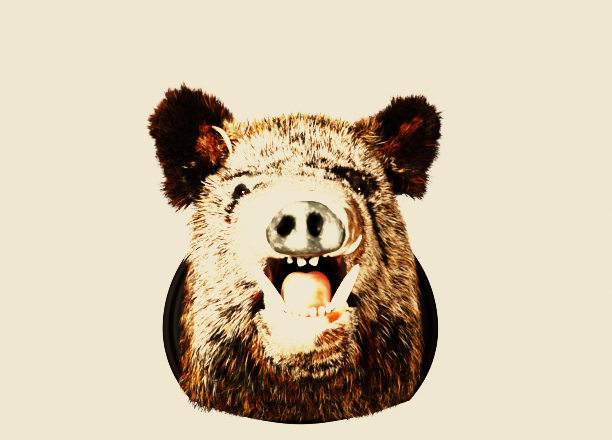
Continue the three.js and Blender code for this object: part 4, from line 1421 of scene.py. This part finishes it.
def make_shield(material):
    rings = []
    for reach, inset in MOULDING:
        outline = shield_outline(inset)
        rings.append(np.stack([outline[:, 0], np.full(len(outline), -reach), outline[:, 1]], axis=1))
    points, faces = capped(rings)
    piece = mesh_object("shield_wood", points, faces, "wood", replaced=["shield"])
    cut_recess(piece, plate_rings())
    cut_recess(piece, pocket_rings())
    for polygon in piece.data.polygons:
        polygon.use_smooth = abs(polygon.normal[1]) < 0.999
    piece.data.materials.append(material)


def plate_rings():
    """A block round the hanger plate, which has round ends."""
    half, rise = HANGER["width"] / 2 + HANGER["recess_gap"], (HANGER["long"] - HANGER["width"]) / 2
    turn = circle(48)
    z = HANGER["height"] + half * np.sin(turn) + rise * np.sign(np.sin(turn) + 1e-9)
    ends = (PAST_BACK, -HANGER["recess_depth"])
    return [np.stack([half * np.cos(turn), np.full(len(turn), y), z], axis=1) for y in ends]


def pocket_rings():
    """A block behind the hanger plate."""
    width, depth, height = POCKET
    middle = HANGER["height"] + POCKET_RISE
    corners = ((-1, -1), (1, -1), (1, 1), (-1, 1))
    return [[(x * width / 2, y, middle + z * height / 2) for x, z in corners] for y in (PAST_BACK, -depth)]


def cut_recess(piece, rings):
    """Cuts a block out of a piece."""
    points, faces = capped(np.array(rings, dtype=float))
    mesh = bpy.data.meshes.new("recess")
    mesh.from_pydata((points / 1000).tolist(), [], faces.tolist())
    cutter = bpy.data.objects.new("recess", mesh)
    bpy.context.scene.collection.objects.link(cutter)
    modifier = piece.modifiers.new("recess", "BOOLEAN")
    modifier.object, modifier.operation, modifier.solver = cutter, "DIFFERENCE", "EXACT"
    bpy.context.view_layer.objects.active = piece
    bpy.ops.object.modifier_apply(modifier="recess")
    bpy.data.objects.remove(cutter)


# ---- Materials ----


def plug(tree, value, socket):
    """Gives a socket a number, a colour or the output of another node."""
    if isinstance(value, bpy.types.NodeSocket):
        tree.links.new(value, socket)
    elif isinstance(value, tuple) and len(value) == 3 and socket.type == "RGBA":
        socket.default_value = (*value, 1)
    else:
        socket.default_value = value


def new_material(name, roughness, **sockets):
    """A material, its node tree, and its shader with plain settings on its own sockets."""
    material = bpy.data.materials.new(name)
    material.use_nodes = True
    tree = material.node_tree
    shader = tree.nodes["Principled BSDF"]
    for socket, value in {"Roughness": roughness, **sockets}.items():
        plug(tree, value, shader.inputs[socket.replace("_", " ")])
    return material, tree, shader


def node(tree, kind, **settings):
    """A new node: each setting is one of its own properties, or else one of its sockets."""
    made = tree.nodes.new("ShaderNode" + kind)
    for key, value in settings.items():
        if hasattr(made, key):
            setattr(made, key, value)
        else:
            plug(tree, value, made.inputs[key.replace("_", " ")])
    return made


def stored(tree, name, output="Fac"):
    """What the mesh keeps under this name."""
    return node(tree, "Attribute", attribute_name=name).outputs[output]


def noise(tree, scale, detail=3.0, stretch=(1, 1, 1), rough=0.55):
    """A random pattern, stretched along each axis of the object."""
    place = node(tree, "TexCoord").outputs["Object"]
    mapping = node(tree, "Mapping", Vector=place, Scale=stretch).outputs["Vector"]
    return node(tree, "TexNoise", Scale=scale, Detail=detail, Roughness=rough, Vector=mapping).outputs["Fac"]


def spread(tree, value, low, high, to_low, to_high):
    """Moves a value from one range to another."""
    made = node(tree, "MapRange", Value=value, From_Min=low, From_Max=high, To_Min=to_low, To_Max=to_high)
    return made.outputs["Result"]


def blend(tree, share, first, second, data="RGBA", kind="MIX"):
    """Two colours, or with FLOAT two numbers, mixed by a share."""
    mix = node(tree, "Mix", data_type=data, blend_type=kind)
    first_socket = {"RGBA": 6, "FLOAT": 2}[data]
    for place, value in ((0, share), (first_socket, first), (first_socket + 1, second)):
        plug(tree, value, mix.inputs[place])
    return mix.outputs[first_socket // 3]


def shaded(tree, colour, brightness):
    """A colour, darker or lighter by a number."""
    grey = node(tree, "CombineColor", Red=brightness, Green=brightness, Blue=brightness)
    return blend(tree, 1.0, colour, grey.outputs["Color"], kind="MULTIPLY")


def finish(tree, shader, colour, roughness=None, height=None, strength=0.0, distance=0.0):
    """Gives the shader its colour and, where stated, its roughness and a bump `distance` metres high."""
    plug(tree, colour, shader.inputs["Base Color"])
    if roughness is not None:
        plug(tree, roughness, shader.inputs["Roughness"])
    if height is not None:
        made = node(tree, "Bump", Height=height, Strength=strength, Distance=distance)
        plug(tree, made.outputs["Normal"], shader.inputs["Normal"])


def coat_material(name, roughness):
    material, tree, shader = new_material(name, roughness, Specular_IOR_Level=0.12)
    speckle = spread(tree, noise(tree, 420.0, 2.0), 0.3, 0.7, 0.78, 1.12)
    finish(tree, shader, shaded(tree, stored(tree, "Shade", "Color"), speckle))
    return material


def skin_material():
    """Hide with short flat hair, which turns smoother and wet where it is bare."""
    material, tree, shader = new_material("hide_skin", 0.7, Specular_IOR_Level=0.25)
    hairs = noise(tree, 300.0, 4.0, (1.0, 0.16, 1.0))
    pores = noise(tree, 420.0, 4.0, rough=0.7)
    wet = stored(tree, "Bare")
    fleck = spread(tree, hairs, 0.36, 0.64, 0.66, 1.16)
    plain = spread(tree, pores, 0.36, 0.62, 0.45, 1.35)
    colour = shaded(tree, stored(tree, "Shade", "Color"), blend(tree, wet, fleck, plain, "FLOAT"))
    height = blend(tree, wet, hairs, pores, "FLOAT")
    finish(tree, shader, colour, spread(tree, wet, 0.0, 1.0, 0.78, 0.34), height, 0.5, 0.0012)
    return material


# The pupil, the iris and its rim: where each is reached, and its colour.
IRIS = ((0.26, (0.001, 0.001, 0.001)), (0.62, (0.055, 0.018, 0.006)), (0.80, (0.006, 0.003, 0.002)))


def eye_material():
    """Black glass with a brown iris."""
    material, tree, shader = new_material("eye_glass", 0.06, Specular_IOR_Level=0.4)
    rings = node(tree, "ValToRGB", Fac=stored(tree, "Tilt"))
    bands = rings.color_ramp.elements
    bands.new(0.80)
    for band, (place, colour) in zip(bands, IRIS):
        band.position, band.color = place, (*colour, 1)
    fibres = spread(tree, noise(tree, 900.0, 4.0), 0.3, 0.7, 0.5, 1.4)
    finish(tree, shader, shaded(tree, rings.outputs["Color"], fibres))
    return material


def ivory_material():
    """Cream enamel with brown streaks, stained near the gum."""
    material, tree, shader = new_material(
        "ivory_enamel", 0.32, Coat_Weight=0.25, Coat_Roughness=0.2,
        Subsurface_Weight=0.15, Subsurface_Radius=(0.006, 0.004, 0.003),
    )
    streak = noise(tree, 160.0, 4.0, (1.0, 1.0, 0.2))
    stain = spread(tree, stored(tree, "Along"), 0.15, 0.55, 0.75, 0.0)
    body = blend(tree, spread(tree, streak, 0.35, 0.7, 0.0, 1.0), (0.90, 0.84, 0.68), (0.72, 0.60, 0.40))
    finish(tree, shader, blend(tree, stain, body, (0.34, 0.18, 0.07)), None, streak, 0.25, 0.0008)
    return material


def tongue_material():
    """Pale pink towards the boar's right side as painted light, red towards its left side and at the left of
    the low front as painted shade, and dark at the back as painted shade.
    """
    material, tree, shader = new_material(
        "tongue_wet", 0.28, Coat_Weight=0.4, Coat_Roughness=0.15,
        Subsurface_Weight=0.2, Subsurface_Radius=(0.008, 0.003, 0.002),
    )
    buds = noise(tree, 700.0, 3.0)
    mottle = spread(tree, noise(tree, 60.0, 3.0), 0.35, 0.65, 0.0, 1.0)
    axes = node(tree, "SeparateXYZ", Vector=node(tree, "TexCoord").outputs["Object"]).outputs
    # Painted light and shade: red towards the boar's left side, pale towards its right.
    aside = spread(tree, axes["X"], 0.003, 0.013, 0.0, 1.0)
    low = spread(tree, axes["Z"], -0.040, -0.028, 1.0, 0.0)
    # Painted shade, darker towards the back of the mouth.
    back = spread(tree, axes["Y"], -0.52, -0.44, 0.0, 0.8)
    pale = blend(tree, mottle, (0.80, 0.47, 0.34), (0.72, 0.31, 0.19))
    deep = blend(tree, mottle, (0.66, 0.24, 0.16), (0.56, 0.09, 0.035))
    # At the low front, pale on the boar's right as painted light and red on its left as painted shade.
    front = blend(tree, spread(tree, axes["X"], -0.006, 0.004, 0.0, 1.0), pale, (0.50, 0.05, 0.018))
    colour = blend(tree, low, blend(tree, aside, pale, deep), front)
    finish(tree, shader, blend(tree, back, colour, (0.20, 0.03, 0.02)), None, buds, 0.5, 0.0009)
    return material


def wood_material():
    """Wood stained nearly black, its grain running up the shield."""
    material, tree, shader = new_material("wood_stained", 0.5, Specular_IOR_Level=0.08)
    grain = noise(tree, 60.0, 6.0, (1.0, 1.0, 0.09))
    figure = spread(tree, noise(tree, 9.0, 3.0, (1.0, 1.0, 0.25)), 0.4, 0.7, 0.0, 0.6)
    fine = spread(tree, grain, 0.35, 0.7, 0.0, 1.0)
    streaks = blend(tree, fine, (0.002, 0.0012, 0.0009), (0.009, 0.0043, 0.0027))
    colour = blend(tree, figure, streaks, (0.004, 0.002, 0.0014))
    finish(tree, shader, colour, spread(tree, grain, 0.3, 0.7, 0.46, 0.6), grain, 0.2, 0.0006)
    return material


def steel_material():
    """Brushed steel."""
    material, tree, shader = new_material("steel_plate", 0.35, Metallic=1.0)
    brushing = noise(tree, 500.0, 3.0, (0.05, 1.0, 1.0))
    colour = blend(tree, spread(tree, brushing, 0.3, 0.7, 0.0, 1.0), (0.50, 0.50, 0.48), (0.66, 0.66, 0.63))
    finish(tree, shader, colour, spread(tree, brushing, 0.3, 0.7, 0.28, 0.44))
    return material


def floor_material():
    material, tree, shader = new_material("floor_paint", 0.85)
    finish(tree, shader, blend(tree, noise(tree, 3.0), (0.80, 0.75, 0.63), (0.84, 0.79, 0.67)))
    return material


# ---- Stage ----

# The camera looks up at the snout from below and a little to one side. Metres and degrees.
VIEW = {"distance": 1.5, "below": 10.0, "aside": 0.8, "pitch": 10.31, "turn": 0.78}
LENS, SENSOR = 86.0, 36.0  # millimetres
HANGING_HEIGHT = 1.35  # of the shield's middle above the floor
AIR = (1.0, 1.0, 1.0)
AMBIENT = 0.16  # how much of the air's brightness falls on things
# The picture is as contrasty as the photograph: what it makes of each brightness, and of full white.
FILM = [(0, 0), (0.03, 0.005), (0.08, 0.034), (0.18, 0.22), (0.30, 0.56), (0.45, 0.88), (0.62, 0.99), (1, 1)]
PAPER = (0.87, 0.80, 0.63)
FLOOR_HALF = 5.0
# Disk lights: place, width, power in watts, and colour. All of them point at the middle of the head.
LIT_PLACE = Vector((0.0, -0.4, 0.08))
LIGHTS = {
    "key": ((-1.15, -2.4, 0.50), 0.5, 175.0, (1.0, 0.98, 0.93)),
    "fill": ((1.1, -2.4, 0.40), 0.5, 66.0, (1.0, 0.94, 0.84)),
    "back": ((0.6, 1.7, 1.1), 1.0, 40.0, (1.0, 0.90, 0.72)),
    "top": ((-0.6, -1.0, 2.0), 1.2, 22.0, (1.0, 0.96, 0.88)),
}


def make_camera():
    low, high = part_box("nose_pad")
    snout = Vector((0.0, low[1] + 0.001, (low[2] + high[2]) / 2 - 0.002))
    below, aside = math.radians(VIEW["below"]), math.radians(VIEW["aside"])
    away = Vector((-math.sin(aside) * math.cos(below), -math.cos(aside) * math.cos(below), -math.sin(below)))
    data = bpy.data.cameras.new("camera")
    data.lens, data.sensor_width, data.clip_end = LENS, SENSOR, 50.0
    camera = bpy.data.objects.new("camera", data)
    camera.location = snout + away * VIEW["distance"]
    camera.rotation_euler = (math.radians(90 + VIEW["pitch"]), 0.0, math.radians(-VIEW["turn"]))
    bpy.context.scene.collection.objects.link(camera)
    bpy.context.scene.camera = camera


def make_light(name, place, size, power, colour):
    data = bpy.data.lights.new(name, "AREA")
    data.shape, data.size, data.energy, data.color = "DISK", size, power, colour
    light = bpy.data.objects.new(name, data)
    light.location = place
    light.rotation_euler = (LIT_PLACE - Vector(place)).to_track_quat("-Z", "Y").to_euler()
    bpy.context.scene.collection.objects.link(light)


def make_floor():
    mesh = bpy.data.meshes.new("floor")
    corners = [(x * FLOOR_HALF, y * FLOOR_HALF, 0) for x, y in ((-1, -1), (1, -1), (1, 1), (-1, 1))]
    mesh.from_pydata(corners, [], [(0, 1, 2, 3)])
    floor = bpy.data.objects.new("floor", mesh)
    floor.location.z = -HANGING_HEIGHT
    floor.data.materials.append(floor_material())
    bpy.context.scene.collection.objects.link(floor)
    floor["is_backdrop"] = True


def make_air():
    """A plain bright backdrop that lights things less than it shows."""
    world = bpy.data.worlds.new("studio")
    world.use_nodes = True
    tree = world.node_tree
    background = tree.nodes["Background"]
    plug(tree, AIR, background.inputs["Color"])
    seen = node(tree, "LightPath").outputs["Is Camera Ray"]
    plug(tree, spread(tree, seen, 0.0, 1.0, AMBIENT, 1.0), background.inputs["Strength"])
    bpy.context.scene.world = world


def set_tones():
    """Gives the picture the tones of FILM and PAPER."""
    view = bpy.context.scene.view_settings
    view.view_transform = "Standard"
    view.use_curve_mapping = True
    for curve, white in zip(view.curve_mapping.curves, PAPER):
        for place in FILM[1:-1]:
            curve.points.new(*place)
        for point, (light, shade) in zip(curve.points, FILM):
            point.location = light, shade * white
            point.handle_type = "AUTO_CLAMPED"
    view.curve_mapping.extend = "HORIZONTAL"
    view.curve_mapping.update()


# ---- Everything ----

make_camera()
make_floor()
make_air()
for light_name, settings in LIGHTS.items():
    make_light(light_name, *settings)
set_tones()

skin = make_skin()
skin_points, skin_normals, _ = mesh_arrays(skin)
shades, bareness = skin_colours(skin_points, skin_normals)
store(skin, "Shade", shades)
store(skin, "Bare", bareness)
skin.data.materials.append(skin_material())

make_cartilage(skin.data.materials[0])
make_body_coat(skin, coat_material("hide_coat", 0.5))
make_ear_coat(skin, coat_material("ear_coat", 0.5))

ivory = ivory_material()
eye_glass = eye_material()
for side_name in SIDES:
    for tooth in TUSKS:
        make_tusk(tooth, side_name, ivory)
    make_eye(side_name, eye_glass)
make_teeth("teeth_upper", UPPER_TEETH, -1, ivory)
make_teeth("teeth_lower", LOWER_TEETH, 1, ivory)
make_tongue(tongue_material())
make_shield(wood_material())
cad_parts["hanger"].data.materials.clear()
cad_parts["hanger"].data.materials.append(steel_material())

visual_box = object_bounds()
[[list(map(float, corner)) for corner in box] for box in (cad_box, visual_box)]
